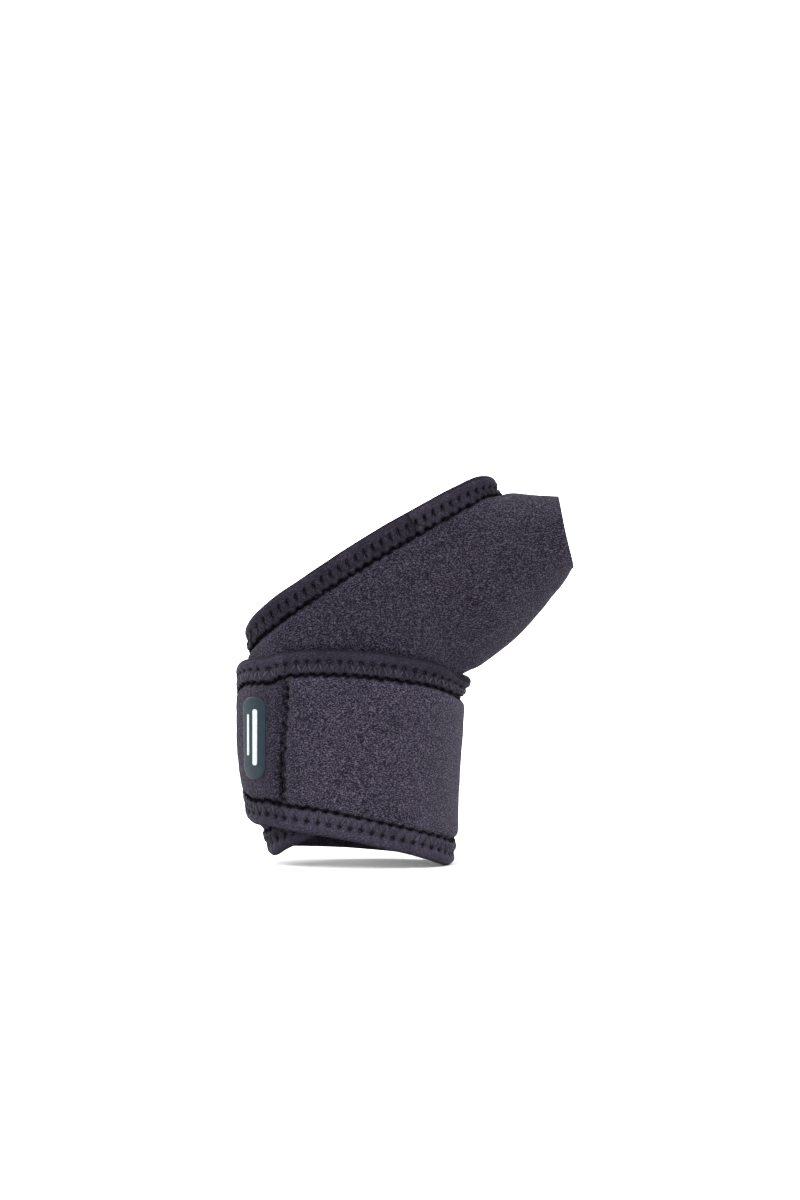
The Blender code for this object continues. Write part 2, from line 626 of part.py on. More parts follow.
def badge():
    """Rounded plate on the tab: its back follows the cloth, its face is flat."""
    angle, height = BADGE_AT
    centre = place(np.array([angle]), np.array([height]))[0]
    normal = surface_normal(centre[None], np.array([angle]))[0]
    across = unit(np.cross(normal, np.array([0.0, 0.0, 1.0])))    # towards growing wrap angle
    up = np.cross(across, normal)
    back_height = LOOP_CLOTH[1] + BADGE_LIFT

    def flat(plan):
        return centre + plan[:, :1] * across + plan[:, 1:] * up

    def on_cloth(plan):
        hint = np.full(len(plan), angle)
        points = project(flat(plan), hint)
        return points + back_height * surface_normal(points, hint)

    corner_x = BADGE_SIZE[0] / 2 - BADGE_CORNER
    corner_y = BADGE_SIZE[1] / 2 - BADGE_CORNER
    rim = []
    for side_x, side_y, start in ((1, 1, 0), (-1, 1, 90), (-1, -1, 180), (1, -1, 270)):
        for turn in np.radians(np.linspace(start, start + 90, BADGE_CORNER_POINTS)):
            rim.append((side_x * corner_x + BADGE_CORNER * np.cos(turn),
                        side_y * corner_y + BADGE_CORNER * np.sin(turn)))
    rim = np.array(rim)
    # A middle line of two points keeps the back curved.
    middle = np.array([(0.0, corner_y), (0.0, -corner_y)])
    face = flat(rim) + (back_height + BADGE_THICK) * normal
    vertices = np.vstack([face, on_cloth(rim), on_cloth(middle)])

    count = len(rim)
    half = count // 2
    upper, lower = 2 * count, 2 * count + 1
    faces = [tuple(range(count))]
    for i in range(count):
        j = (i + 1) % count
        faces.append((i, i + count, j + count, j))
        # Each half of the back fans to its own middle point.
        own, other = (upper, lower) if i < half else (lower, upper)
        faces.append((j + count, i + count, own))
        if i in (half - 1, count - 1):
            faces.append((own, other, j + count))
    return vertices, faces


# ---- scene
def make_material(name, colour, roughness, sheen=0.0):
    material = bpy.data.materials.new(name)
    material.use_nodes = True
    inputs = material.node_tree.nodes["Principled BSDF"].inputs
    inputs["Base Color"].default_value = (*colour, 1.0)
    inputs["Roughness"].default_value = roughness
    inputs["Sheen Weight"].default_value = sheen
    return material


def make_object(name, vertices, faces, material):
    mesh = bpy.data.meshes.new(name)
    mesh.from_pydata((vertices * MM).tolist(), [], [list(face) for face in faces])
    mesh.validate()
    mesh.materials.append(material)
    obj = bpy.data.objects.new(name, mesh)
    bpy.context.scene.collection.objects.link(obj)
    tidy(mesh)
    return obj


def tidy(mesh):
    """Splits all faces into triangles that face out."""
    bm = bmesh.new()
    bm.from_mesh(mesh)
    bmesh.ops.triangulate(bm, faces=bm.faces[:], quad_method="SHORT_EDGE",
                          ngon_method="EAR_CLIP")
    bmesh.ops.recalc_face_normals(bm, faces=bm.faces[:])
    if bm.calc_volume(signed=True) < 0:
        bmesh.ops.reverse_faces(bm, faces=bm.faces[:])
    bm.to_mesh(mesh)
    bm.free()


def standing_shift(pieces):
    """Offset that centres the brace in x and y and stands it on z = 0."""
    vertices = np.vstack([solid[0] for _, solid, _ in pieces])
    low, high = vertices.min(0), vertices.max(0)
    return -np.array([(low[0] + high[0]) / 2, (low[1] + high[1]) / 2, low[2]])


def attach(child, parent):
    """Parents child without moving it."""
    bpy.context.view_layer.update()
    child.parent = parent
    child.matrix_parent_inverse = parent.matrix_world.inverted()


def make_pivot(name, angle, shift):
    """Empty on a vertical hinge axis just outside the outer face at the wrap angle."""
    heights = np.linspace(float(bottom_edge(angle)), float(top_edge(angle)), PIVOT_SAMPLES)
    points, normals = place_with_normals(
        np.stack([np.full(len(heights), angle), heights], -1))
    outside = points + (LOOP_CLOTH[1] + PIVOT_CLEARANCE) * normals
    axis = np.array([limb_section(PIVOT_AXIS_Z)[0], 0.0])
    reach = (outside[:, :2] - axis) @ unit(normals[:, :2].mean(0))
    x, y, _ = (outside[int(np.argmax(reach))] + shift) * MM
    empty = bpy.data.objects.new(name, None)
    empty.location = (x, y, 0.0)
    bpy.context.scene.collection.objects.link(empty)
    return empty


def main():
    for obj in list(bpy.data.objects):
        bpy.data.objects.remove(obj, do_unlink=True)
    materials = {name: make_material(name, **look) for name, look in MATERIALS.items()}
    bodies = [wrap_pieces(), strap_pieces(), tab_pieces()]
    shift = standing_shift(sum(bodies, []))
    _, strap, tab = [
        [make_object(name, vertices + shift, faces, materials[material])
         for name, (vertices, faces), material in body]
        for body in bodies]

    # The strap turns on the wrap, and the tab on the strap.
    strap_pivot = make_pivot("strap_pivot", HINGE_ANGLE, shift)
    tab_pivot = make_pivot("tab_pivot", TAB_ANGLE, shift)
    attach(tab_pivot, strap_pivot)
    for pivot, members in ((strap_pivot, strap), (tab_pivot, tab)):
        for obj in members:
            attach(obj, pivot)


main()
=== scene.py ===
"""Looks of a wrist support brace: cloth, edge tape, stitching, hook patch and badge.

One band goes round the hand, thumb and wrist, then round the wrist again as the closing strap,
and ends in a rounded hook tab with a badge. Design lengths are in mm: x points towards the
thumb, y towards the palm and z towards the fingers. A spot on the wrap is (angle, height), with
the angle in degrees: 0 thumb side, 90 back of hand, 180 little-finger side, 270 palm, and 360
more on the second turn. An inset is a distance over the surface from the sewn edge inwards.
"""

import bpy
import numpy as np
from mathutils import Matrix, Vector


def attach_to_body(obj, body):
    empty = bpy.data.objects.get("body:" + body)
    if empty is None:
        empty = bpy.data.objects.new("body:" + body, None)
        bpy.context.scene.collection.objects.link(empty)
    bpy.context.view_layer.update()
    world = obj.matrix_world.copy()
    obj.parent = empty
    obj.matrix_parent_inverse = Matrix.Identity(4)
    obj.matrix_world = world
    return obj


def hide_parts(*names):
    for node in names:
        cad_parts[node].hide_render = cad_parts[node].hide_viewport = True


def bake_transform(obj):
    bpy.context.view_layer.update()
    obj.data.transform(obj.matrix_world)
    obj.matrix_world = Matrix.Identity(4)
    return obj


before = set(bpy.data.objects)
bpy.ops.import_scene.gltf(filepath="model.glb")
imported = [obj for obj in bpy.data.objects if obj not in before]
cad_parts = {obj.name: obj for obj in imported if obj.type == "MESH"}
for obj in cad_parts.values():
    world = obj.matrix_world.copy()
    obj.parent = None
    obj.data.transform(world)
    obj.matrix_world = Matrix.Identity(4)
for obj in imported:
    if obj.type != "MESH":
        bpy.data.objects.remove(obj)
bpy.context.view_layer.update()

# ---- driving dimensions (mm and degrees)
MM = 0.001
SHIFT = np.array([-0.14158, 0.03489, 0.41439])   # from the design's centre line to the frame
LINING = (0.0, 0.5)              # heights over the wrist side: layer's bottom and top
FOAM_SEWN = (1.25, 1.75)         # the same where the tape squeezes the layers
LINING_SEWN = (0.85, 1.15)
TAPE_WIDTH = 6.7
TAPE_FACE = 3.0                  # height of the tape's outer face
BADGE_SIZE = (8.7, 25.2)
BADGE_SPOT = (513.2, 39.6)
SPLIT_ANGLE = 345.0              # the strap's cloth starts here, under the thumb
TAPE_JOIN_ANGLE = 42.0           # upper and lower tapes meet here
TAB_ANGLE = 496.0                # start of the hook tab
TAB_ROUND_ANGLE = 508.0          # its rounded end starts
TAB_END_ANGLE = 558.0
TAB_ROUND = 2.6                  # exponent of the rounded end; 2 is an ellipse
PITCH = 3.2                      # zigzag stitch
WRAP_PITCH = 3.05                # the same on the first turn
HOLE_OUT, HOLE_IN = 2.85, 6.25   # insets of the needle holes
SEAM_PITCH = 3.1                 # straight stitches beside the hook patch


# ---- small maths
def smooth_curve(keys):
    """Smooth curve through (x, y) keys that never overshoots them."""
    xs, ys = np.array(keys, float).T
    gaps = np.diff(xs)
    rises = np.diff(ys) / gaps
    slopes = np.zeros(len(xs))
    slopes[0], slopes[-1] = rises[0], rises[-1]
    for i in range(1, len(xs) - 1):
        if rises[i - 1] * rises[i] > 0:
            before = 2 * gaps[i] + gaps[i - 1]
            after = gaps[i] + 2 * gaps[i - 1]
            slopes[i] = (before + after) / (before / rises[i - 1] + after / rises[i])

    def curve(x):
        x = np.clip(np.asarray(x, float), xs[0], xs[-1])
        i = np.clip(np.searchsorted(xs, x, side="right") - 1, 0, len(xs) - 2)
        t = (x - xs[i]) / gaps[i]
        return ((2 * t**3 - 3 * t**2 + 1) * ys[i] + (t**3 - 2 * t**2 + t) * gaps[i] * slopes[i]
                + (3 * t**2 - 2 * t**3) * ys[i + 1] + (t**3 - t**2) * gaps[i] * slopes[i + 1])
    return curve


def ease(start, end, x):
    """Smooth step from 0 at start to 1 at end."""
    t = np.clip((np.asarray(x, float) - start) / (end - start), 0, 1)
    return t * t * (3 - 2 * t)


def bell(x, width):
    return np.exp(-(x / width)**2)


def hill(x, half_width):
    """Parabola, 1 at x = 0 and 0 from half_width on."""
    return np.clip(1 - (x / half_width)**2, 0, 1)


def unit(vectors):
    return vectors / np.maximum(np.linalg.norm(vectors, axis=-1, keepdims=True), 1e-12)


def lengths_along(points):
    return np.concatenate([[0], np.cumsum(np.linalg.norm(np.diff(points, axis=0), axis=1))])


def last_inside(inside, shape, reach):
    """Halves the range 0 to reach, per element, to where inside(distance) ends."""
    near, far = np.zeros(shape), np.full(shape, reach)
    for _ in range(27):
        middle = (near + far) / 2
        held = inside(middle)
        near, far = np.where(held, middle, near), np.where(held, far, middle)
    return near, far


# ---- the space that the wrist, hand and thumb fill
# height, left edge x, right edge x, half depth
LIMB = np.array((
    (-8, -36.4, 7.0, 18.6), (0, -37.6, 7.7, 18.6), (5, -39.6, 8.5, 18.6), (10, -41.2, 9.0, 18.6),
    (20, -42.9, 9.2, 18.6), (40, -45.0, 10.4, 18.3), (50, -45.1, 11.1, 18.1),
    (57, -45.2, 10.8, 17.9), (61, -45.3, 11.9, 17.7), (70, -46.3, 13.8, 17.2),
    (80, -47.8, 16.4, 16.4), (95, -49.8, 20.6, 15.0), (110, -50.6, 24.4, 13.8),
    (126, -50.8, 26.4, 12.8)))
left_of, right_of, depth_of = (smooth_curve(LIMB[:, (0, column)]) for column in (1, 2, 3))
ROUND = 2.3                      # section exponent: 2 is an ellipse, more is fuller at the corners
TURN_GAP = 4.1                   # the second turn's inner face stands this far off the wrist

# The thumb cuff is a flattened cone. Depth runs from its opening back into the hand.
CUFF_CENTRE = np.array([49.3, 1.5, 102.3])
CUFF_AXIS = np.array([0.946, 0.0, 0.324])
CUFF_UP = np.array([-0.324, 0.0, 0.946])
CUFF_PLANE = np.array([0.983, 0.0, 0.185])      # the opening's plane leans less than the cone
CUFF_RIM, CUFF_END = -1.5, 76                   # depths where the cone starts and ends
CUFF_TIP = 9.0                                  # length of the rounded cap before the rim
# depth, half size: above the axis, below it, and along y
cuff_above = smooth_curve(
    ((-1.5, 8.4), (6, 11.4), (13, 14.6), (25, 18.5), (40, 21), (60, 20), (76, 8)))
cuff_below = smooth_curve(
    ((-1.5, 6.9), (1.9, 7.9), (4.9, 10.2), (8, 12.4), (11.6, 14.5), (14.9, 16.6), (18.5, 18.6),
     (21.9, 20.6), (26, 22.6), (30.5, 24.3), (35.3, 25.9), (40, 27.0), (46, 27.0), (60, 21),
     (76, 8)))
cuff_half_y = smooth_curve(
    ((-1.5, 8.3), (8, 9.9), (20, 12.4), (30, 13.2), (40, 12.4), (50, 9.6), (60, 5.5), (70, 2.0),
     (76, 1.0)))
FILLET = 8.0                     # radius-like size of the blend between hand and thumb
FAN_START = np.array([2.0, 0.0, 86.0])   # rays start here near the thumb, else on the axis


def oval_distance(x, y, half_x, half_y):
    """Distance from a rounded oval, along the line from its middle; negative inside."""
    ratio = (np.abs(x / half_x)**ROUND + np.abs(y / half_y)**ROUND)**(1 / ROUND)
    radius = np.hypot(x, y)
    return radius - radius / np.maximum(ratio, 1e-9)


def axis_x(height):
    return (left_of(height) + right_of(height)) / 2


def limb_section(height):
    """Middle x, half width and half depth."""
    return axis_x(height), (right_of(height) - left_of(height)) / 2, depth_of(height)


def limb_distance(points):
    middle, half_x, half_y = limb_section(points[..., 2])
    return oval_distance(points[..., 0] - middle, points[..., 1], half_x, half_y)


def cuff_distance(points):
    offset = points - CUFF_CENTRE
    depth, up = -(offset @ CUFF_AXIS), offset @ CUFF_UP
    cap = np.sqrt(np.clip(1 - ((CUFF_RIM - depth) / CUFF_TIP)**2, 1e-4, 1))
    cap = np.where(depth < CUFF_RIM, cap, 1.0)
    half_up = np.where(up > 0, cuff_above(depth), cuff_below(depth)) * cap
    half_y = cuff_half_y(depth) * cap
    beyond = np.maximum(depth - CUFF_END, 0) + np.maximum(CUFF_RIM - CUFF_TIP - depth, 0)
    return oval_distance(up, offset[..., 1], half_up, half_y) + beyond


def form_distance(points):
    limb, cuff = limb_distance(points), cuff_distance(points)
    near = np.maximum(FILLET - np.abs(limb - cuff), 0) / FILLET
    return np.minimum(limb, cuff) - near * near * FILLET / 4


def angle_of(points, hint):
    """Wrap angle of points, on the turn nearest to the hinted angle."""
    angle = np.degrees(np.arctan2(-points[..., 1], points[..., 0] - axis_x(points[..., 2])))
    return angle + 360 * np.round((hint - angle) / 360)


def wrap_distance(points, hint):
    """Distance from the wrap's inner face, which steps out over the first turn."""
    return form_distance(points) - TURN_GAP * ease(205, 268, angle_of(points, hint))


def gradient(points, hint, reach=0.06):
    sides = [wrap_distance(points + reach * axis, hint) - wrap_distance(points - reach * axis, hint)
             for axis in np.eye(3)]
    return np.stack(sides, -1) / (2 * reach)


def normals_at(points, hint):
    return unit(gradient(points, hint))


def project(points, hint):
    for _ in range(5):
        slope = gradient(points, hint)
        pull = wrap_distance(points, hint) / np.maximum((slope * slope).sum(-1), 1e-9)
        points = points - pull[..., None] * slope
    return points


def cast(start, direction, hint):
    """First point from start along direction that lies on the surface."""
    near, far = last_inside(
        lambda reach: wrap_distance(start + reach[..., None] * direction, hint) < 0,
        direction.shape[:-1], 110.0)
    return start + ((near + far) / 2)[..., None] * direction


def place(angle, height):
    """Points of the wrap's inner face at the given angles and heights."""
    angle, height = np.broadcast_arrays(np.asarray(angle, float), np.asarray(height, float))
    cosine, sine = np.cos(np.radians(angle)), -np.sin(np.radians(angle))
    middle, half_x, half_y = limb_section(height)
    reach = (np.abs(cosine / half_x)**ROUND + np.abs(sine / half_y)**ROUND)**(-1 / ROUND)
    target = np.stack([middle + reach * cosine, reach * sine, height], -1)
    fan = (1 - ease(25, 80, np.abs(angle - 2)))[..., None]
    start = (1 - fan) * np.stack([middle, 0 * middle, height], -1) + fan * FAN_START
    return cast(start, unit(target - start), angle)


# ---- outlines of the wrap, as (angle, height)
# Before 90 degrees THUMB_OUTLINE takes over from both edges.
top_edge = smooth_curve((
    (90, 99.1), (100, 97.3), (110, 95.35), (120, 93.0), (130, 90.3), (140, 86.9), (150, 83.2),
    (160, 78.7), (165, 76.7), (170, 74.9), (180, 72.6), (195, 70.9), (215, 69.4), (250, 67.2),
    (290, 65.0), (330, 61.2), (352, 58.4), (362, 57.9), (370, 58.2), (380, 60.0), (390, 61.7),
    (400, 62.9), (410, 63.7), (420, 64.4), (430, 64.9), (440, 65.2), (460, 65.7), (480, 65.7),
    (500, 64.7), (510, 62.9), (520, 61.0), (530, 59.6), (545, 58.8), (560, 58.4), (575, 58.2)))
bottom_edge = smooth_curve((
    (90, 17.8), (100, 15.5), (110, 13.3), (120, 10.9), (130, 9.2), (140, 7.6), (150, 6.1),
    (158, 4.9), (166, 4.2), (173, 4.1), (182, 4.8), (200, 5.6), (240, 4.6), (290, 3.0),
    (330, 1.6), (352, 0.8), (374, 0.8), (385, 1.6), (392, 2.5), (400, 3.5), (410, 4.8),
    (420, 5.9), (430, 7.0), (440, 8.1), (450, 9.0), (460, 9.8), (470, 10.6), (480, 11.3),
    (490, 12.0), (500, 12.7), (510, 13.6), (520, 14.8), (530, 16.1), (545, 17.8), (560, 18.8),
    (575, 19.0)))
# Back-of-hand line, over the thumb, palm flap, ball of the thumb, and back.
THUMB_OUTLINE = (
    (90, 99.1), (80, 100.8), (70, 102.55), (60, 104.45), (50, 106.5), (40, 108.95), (30, 112.1),
    (20, 116.0), (10, 119.6), (0, 118.3), (-10, 112.4), (-22, 104.8), (-38, 98.4), (-54, 93.0),
    (-66, 88.0), (-74, 80.5), (-77, 71.0), (-76, 61.0), (-70, 52.5), (-58, 47.0), (-40, 44.5),
    (-20, 43.6), (0, 42.0), (20, 38.0), (40, 33.0), (60, 26.6), (75, 21.9), (90, 17.8))


def edge_spots(edge, angles):
    return np.stack([angles, edge(angles)], -1)


def outline_curve(keys, per_key=24):
    """Catmull-Rom curve through the keys."""
    keys = np.array(keys, float)
    keys = np.vstack([2 * keys[0] - keys[1], keys, 2 * keys[-1] - keys[-2]])
    t = np.linspace(0, 1, per_key, endpoint=False)[:, None]
    spans = []
    for i in range(1, len(keys) - 2):
        before, start, end, after = keys[i - 1:i + 3]
        spans.append(0.5 * (2 * start + (end - before) * t
                            + (2 * before - 5 * start + 4 * end - after) * t**2
                            + (3 * start - before - 3 * end + after) * t**3))
    return np.vstack(spans + [keys[-2:-1]])


def tab_outline():
    """Top edge, rounded end and bottom edge of the hook tab."""
    top, bottom = float(top_edge(TAB_ROUND_ANGLE)), float(bottom_edge(TAB_ROUND_ANGLE))
    straight = np.linspace(TAB_ANGLE, TAB_ROUND_ANGLE, 12)[:-1]
    turn = np.radians(np.linspace(90, -90, 60))
    cosine, sine = np.cos(turn), np.sin(turn)
    reach = TAB_END_ANGLE - TAB_ROUND_ANGLE
    rise = np.sign(sine) * np.abs(sine)**(2 / TAB_ROUND)
    end = np.stack([TAB_ROUND_ANGLE + reach * np.abs(cosine)**(2 / TAB_ROUND),
                    (top + bottom) / 2 + (top - bottom) / 2 * rise], -1)
    return np.vstack([edge_spots(top_edge, straight), end,
                      edge_spots(bottom_edge, straight)[::-1]])


def evenly_spaced(spots, count):
    """count + 1 spots evenly spaced over the surface along the outline."""
    points = place(spots[:, 0], spots[:, 1])
    lengths = lengths_along(np.hstack([points, spots]))
    wanted = np.linspace(0, lengths[-1], count + 1)
    return np.stack([np.interp(wanted, lengths, spots[:, k]) for k in range(2)], -1)


# ---- sheets over the wrap
def surface_slopes(angle, height, reach=0.4):
    """How the surface point moves per degree and per mm of height."""
    return ((place(angle + reach, height) - place(angle - reach, height)) / (2 * reach),
            (place(angle, height + reach) - place(angle, height - reach)) / (2 * reach))


def move_spots(spots, direction, distance, parts=4):
    """Spots moved a distance over the surface, starting along direction."""
    angle, height = spots[:, 0].copy(), spots[:, 1].copy()
    for _ in range(parts):
        by_angle, by_height = surface_slopes(angle, height)
        aa = (by_angle * by_angle).sum(-1)
        ah = (by_angle * by_height).sum(-1)
        hh = (by_height * by_height).sum(-1)
        normal = unit(np.cross(by_angle, by_height))
        direction = unit(direction - (direction * normal).sum(-1, keepdims=True) * normal)
        along_a, along_h = (by_angle * direction).sum(-1), (by_height * direction).sum(-1)
        det = aa * hh - ah * ah
        angle, height = (angle + (hh * along_a - ah * along_h) / det * distance / parts,
                         height + (aa * along_h - ah * along_a) / det * distance / parts)
    return np.stack([angle, height], -1)


def inset_rows(spots, insets, side):
    """Copies of the outline at each inset (station, row, 2) and the inward directions."""
    points = place(spots[:, 0], spots[:, 1])
    tangents = unit(np.gradient(points, axis=0))
    inward = unit(np.cross(tangents, normals_at(points, spots[:, 0]))) * side
    rows = [spots] + [move_spots(spots, inward, inset) for inset in insets[1:]]
    return np.stack(rows, 1), inward


def square_ends(strip, insets, angle):
    """Keeps the end stations of a strip on one wrap angle, so that its end face is straight."""
    for k in range(1, len(insets)):
        strip[0, k] = (angle, strip[0, 0, 1] - insets[k])
        strip[-1, k] = (angle, strip[-1, 0, 1] + insets[k])


class Sheet:
    """Quads over the wrap. Patches share corners that have the same spot."""
    INNER = 20.0                 # inset given to everything far from the edge

    def __init__(self):
        self.spots, self.insets, self.faces, self.index = [], [], [], {}

    def add(self, spot, inset):
        key = (round(float(spot[0]), 5), round(float(spot[1]), 5))
        if key not in self.index:
            self.index[key] = len(self.spots)
            self.spots.append((float(spot[0]), float(spot[1])))
            self.insets.append(float(inset))
        return self.index[key]

    def grid(self, spots, insets=INNER, flip=False):
        """Adds a patch of (rows, columns, 2) spots."""
        rows, columns = spots.shape[:2]
        insets = np.broadcast_to(insets, (rows, columns))
        ids = np.array([[self.add(spots[i, j], insets[i, j]) for j in range(columns)]
                        for i in range(rows)])
        quads = np.stack([ids[:-1, :-1], ids[1:, :-1], ids[1:, 1:], ids[:-1, 1:]], -1)
        quads = quads.reshape(-1, 4)
        self.faces += [tuple(quad) for quad in (quads[:, ::-1] if flip else quads)]

    def surface(self):
        """Points, normals and insets of all corners."""
        spots = np.array(self.spots)
        points = place(spots[:, 0], spots[:, 1])
        return points, normals_at(points, spots[:, 0]), np.array(self.insets)


HEIGHT_TO_ANGLE = 0.6            # mm per degree, to compare angles with heights


def thumb_hole():
    """The hole's centre spot, and a function from directions round it to spots on its rim."""
    turn = np.radians(np.linspace(0, 360, 361)[:-1])
    hint = 0 * turn
    up = np.array([-CUFF_PLANE[2], 0.0, CUFF_PLANE[0]])
    spokes = np.cos(turn)[:, None] * up + np.sin(turn)[:, None] * np.array([0.0, -1.0, 0.0])
    rim = cast(CUFF_CENTRE + 0 * spokes, spokes, hint)
    # place() aims at the limb's own section, so the rim is traced back to it.
    rays = unit(rim - FAN_START)
    near, _ = last_inside(lambda reach: limb_distance(FAN_START + reach[:, None] * rays) < 0,
                          len(rim), 60.0)
    crossing = FAN_START + near[:, None] * rays
    spots = np.stack([angle_of(crossing, hint), crossing[:, 2]], -1)
    centre = np.array([spots[:, 0].mean(), spots[:, 1].mean()])
    known = directions_from(centre, spots) % 360
    order = np.argsort(known)
    known, spots = known[order], spots[order]
    known = np.concatenate([known[-1:] - 360, known, known[:1] + 360])
    spots = np.vstack([spots[-1:], spots, spots[:1]])

    def rim_at(directions):
        wanted = directions % 360
        return np.stack([np.interp(wanted, known, spots[:, k]) for k in range(2)], -1)
    return centre, rim_at


def directions_from(centre, spots):
    return np.degrees(np.arctan2(spots[:, 1] - centre[1],
                                 (spots[:, 0] - centre[0]) * HEIGHT_TO_ANGLE))


def fill_ring(sheet, outer, inner, rows, samples=40):
    """Fills between a closed outline and the thumb hole, evenly spaced over the surface."""
    t = np.linspace(0, 1, samples)[None, :, None]
    spots = outer[:, None] * (1 - t) + inner[:, None] * t
    points = place(spots[..., 0], spots[..., 1])
    steps = np.linalg.norm(np.diff(points, axis=1), axis=-1)
    lengths = np.concatenate([np.zeros((len(outer), 1)), np.cumsum(steps, 1)], 1)
    wanted = np.linspace(0, 1, rows + 1)
    share = np.stack([np.interp(wanted * line[-1], line, t[0, :, 0]) for line in lengths])
    # Neighbouring lines share their spacing, so that no face between them folds.
    reach = max(1, len(outer) // 16)
    share = sum(np.roll(share, k, axis=0) * (reach + 1 - abs(k))
                for k in range(-reach, reach + 1)) / (reach + 1)**2
    grid = outer[:, None] * (1 - share[..., None]) + inner[:, None] * share[..., None]
    grid[:, 0], grid[:, -1] = outer, inner
    sheet.grid(np.concatenate([grid, grid[:1]]))


def wrap_sheet(columns, outline_count, middle_rows, cuff_rows, insets):
    """The first turn, from the palm flap round the thumb, hand and wrist to the split."""
    angles = np.linspace(90, SPLIT_ANGLE, columns + 1)
    outline = evenly_spaced(outline_curve(THUMB_OUTLINE), outline_count)
    edge = np.vstack([edge_spots(top_edge, angles)[::-1], outline[1:-1],
                      edge_spots(bottom_edge, angles)])
    strip, _ = inset_rows(edge, insets, 1.0)
    square_ends(strip, insets, SPLIT_ANGLE)
    sheet = Sheet()
    sheet.grid(strip, np.array(insets)[None, :])
    inner = strip[:, -1]
    top, bottom = inner[:columns + 1][::-1], inner[-columns - 1:]
    t = np.linspace(0, 1, middle_rows + 1)[None, :, None]
    middle = top[:, None] * (1 - t) + bottom[:, None] * t
    middle[:, 0], middle[:, -1] = top, bottom
    sheet.grid(middle, flip=True)
    loop = np.vstack([inner[columns:len(inner) - columns], middle[0, 1:-1][::-1]])
    centre, rim_at = thumb_hole()
    fill_ring(sheet, loop, rim_at(directions_from(centre, loop)), cuff_rows)
    return sheet


def strap_sheet(columns, middle_rows, insets):
    """The strap, from the split to the tab, with columns closer together at the tab."""
    spread = (1 - np.linspace(0, 1, columns + 1))**1.25
    grid = []
    for angle in TAB_ANGLE - (TAB_ANGLE - SPLIT_ANGLE) * spread:
        top, bottom = float(top_edge(angle)), float(bottom_edge(angle))
        middle = np.linspace(top - insets[-1], bottom + insets[-1], middle_rows + 1)[1:-1]
        heights = ([top - inset for inset in insets] + list(middle)
                   + [bottom + inset for inset in insets[::-1]])
        grid.append([(angle, height) for height in heights])
    across = list(insets) + [Sheet.INNER] * (middle_rows - 1) + list(insets[::-1])
    sheet = Sheet()
    sheet.grid(np.array(grid), np.array(across)[None, :])
    return sheet


def coons_patch(top, bottom, left, right):
    """Fills four boundary curves."""
    s = np.linspace(0, 1, len(top))[:, None, None]
    t = np.linspace(0, 1, len(left))[None, :, None]
    patch = ((1 - t) * top[:, None] + t * bottom[:, None] + (1 - s) * left[None] + s * right[None]
             - (1 - s) * (1 - t) * top[0] - s * (1 - t) * top[-1]
             - (1 - s) * t * bottom[0] - s * t * bottom[-1])
    patch[:, 0], patch[:, -1], patch[0], patch[-1] = top, bottom, left, right
    return patch


def tab_sheet(columns, rows, insets):
    """The hook tab round its rounded end, and the patch of spots inside its edge strip."""
    edge = evenly_spaced(tab_outline(), 2 * columns + rows)
    strip, _ = inset_rows(edge, insets, -1.0)
    square_ends(strip, insets, TAB_ANGLE)
    sheet = Sheet()
    sheet.grid(strip, np.array(insets)[None, :])
    inner = strip[:, -1]
    top = inner[:columns + 1]
    right = inner[columns:columns + rows + 1]
    bottom = inner[columns + rows:][::-1]
    left = np.stack([np.full(rows + 1, TAB_ANGLE),
                     np.linspace(top[0, 1], bottom[0, 1], rows + 1)], -1)
    patch = coons_patch(top, bottom, left, right)
    sheet.grid(patch)
    return sheet, patch


# ---- noise and meshes
def cell_hash(cells, seed):
    """Random value from -1 to 1 for each integer cell (..., 3)."""
    x, y, z = np.moveaxis(cells.astype(np.uint64), -1, 0)
    mixed = ((x * np.uint64(73856093)) ^ (y * np.uint64(19349663)) ^ (z * np.uint64(83492791))
             ^ np.uint64(seed * 2654435761 & 0xffffffff))
    mixed = (mixed ^ (mixed >> np.uint64(13))) * np.uint64(1274126177)
    mixed = mixed ^ (mixed >> np.uint64(16))
    return (mixed & np.uint64(0xffffff)).astype(float) / 0xffffff * 2 - 1


def noise(points, size, seed):
    """Smooth noise from -1 to 1 with features of the given size in mm."""
    scaled = points / size + 1000.0
    cells = np.floor(scaled).astype(np.int64)
    part = scaled - cells
    part = part * part * (3 - 2 * part)
    total = 0
    for corner in np.ndindex(2, 2, 2):
        weight = np.prod(np.where(corner, part, 1 - part), axis=-1)
        total = total + weight * cell_hash(cells + np.array(corner), seed)
    return total


def make_mesh(name, points, quads, material, shade=None):
    """Mesh from points in mm and rows of four indices (a repeated last one makes a triangle)."""
    mesh = bpy.data.meshes.new(name)
    quads = np.asarray(quads, np.int32)
    triangle = quads[:, 2] == quads[:, 3]
    sizes = np.where(triangle, 3, 4).astype(np.int32)
    keep = np.ones(quads.shape, bool)
    keep[triangle, 3] = False
    corners = quads[keep]
    starts = np.concatenate([[0], np.cumsum(sizes)[:-1]]).astype(np.int32)
    mesh.vertices.add(len(points))
    places = ((np.asarray(points) + SHIFT) * MM).astype(np.float32)
    mesh.vertices.foreach_set("co", places.ravel())
    mesh.loops.add(len(corners))
    mesh.loops.foreach_set("vertex_index", corners)
    mesh.polygons.add(len(quads))
    mesh.polygons.foreach_set("loop_start", starts)
    mesh.polygons.foreach_set("use_smooth", np.full(len(quads), True))
    mesh.update(calc_edges=True)
    mesh.validate()
    if shade is not None:
        attribute = mesh.attributes.new("shade", "FLOAT", "POINT")
        attribute.data.foreach_set("value", np.asarray(shade, np.float32))
    obj = bpy.data.objects.new(name, mesh)
    mesh.materials.append(material)
    bpy.context.scene.collection.objects.link(obj)
    return obj


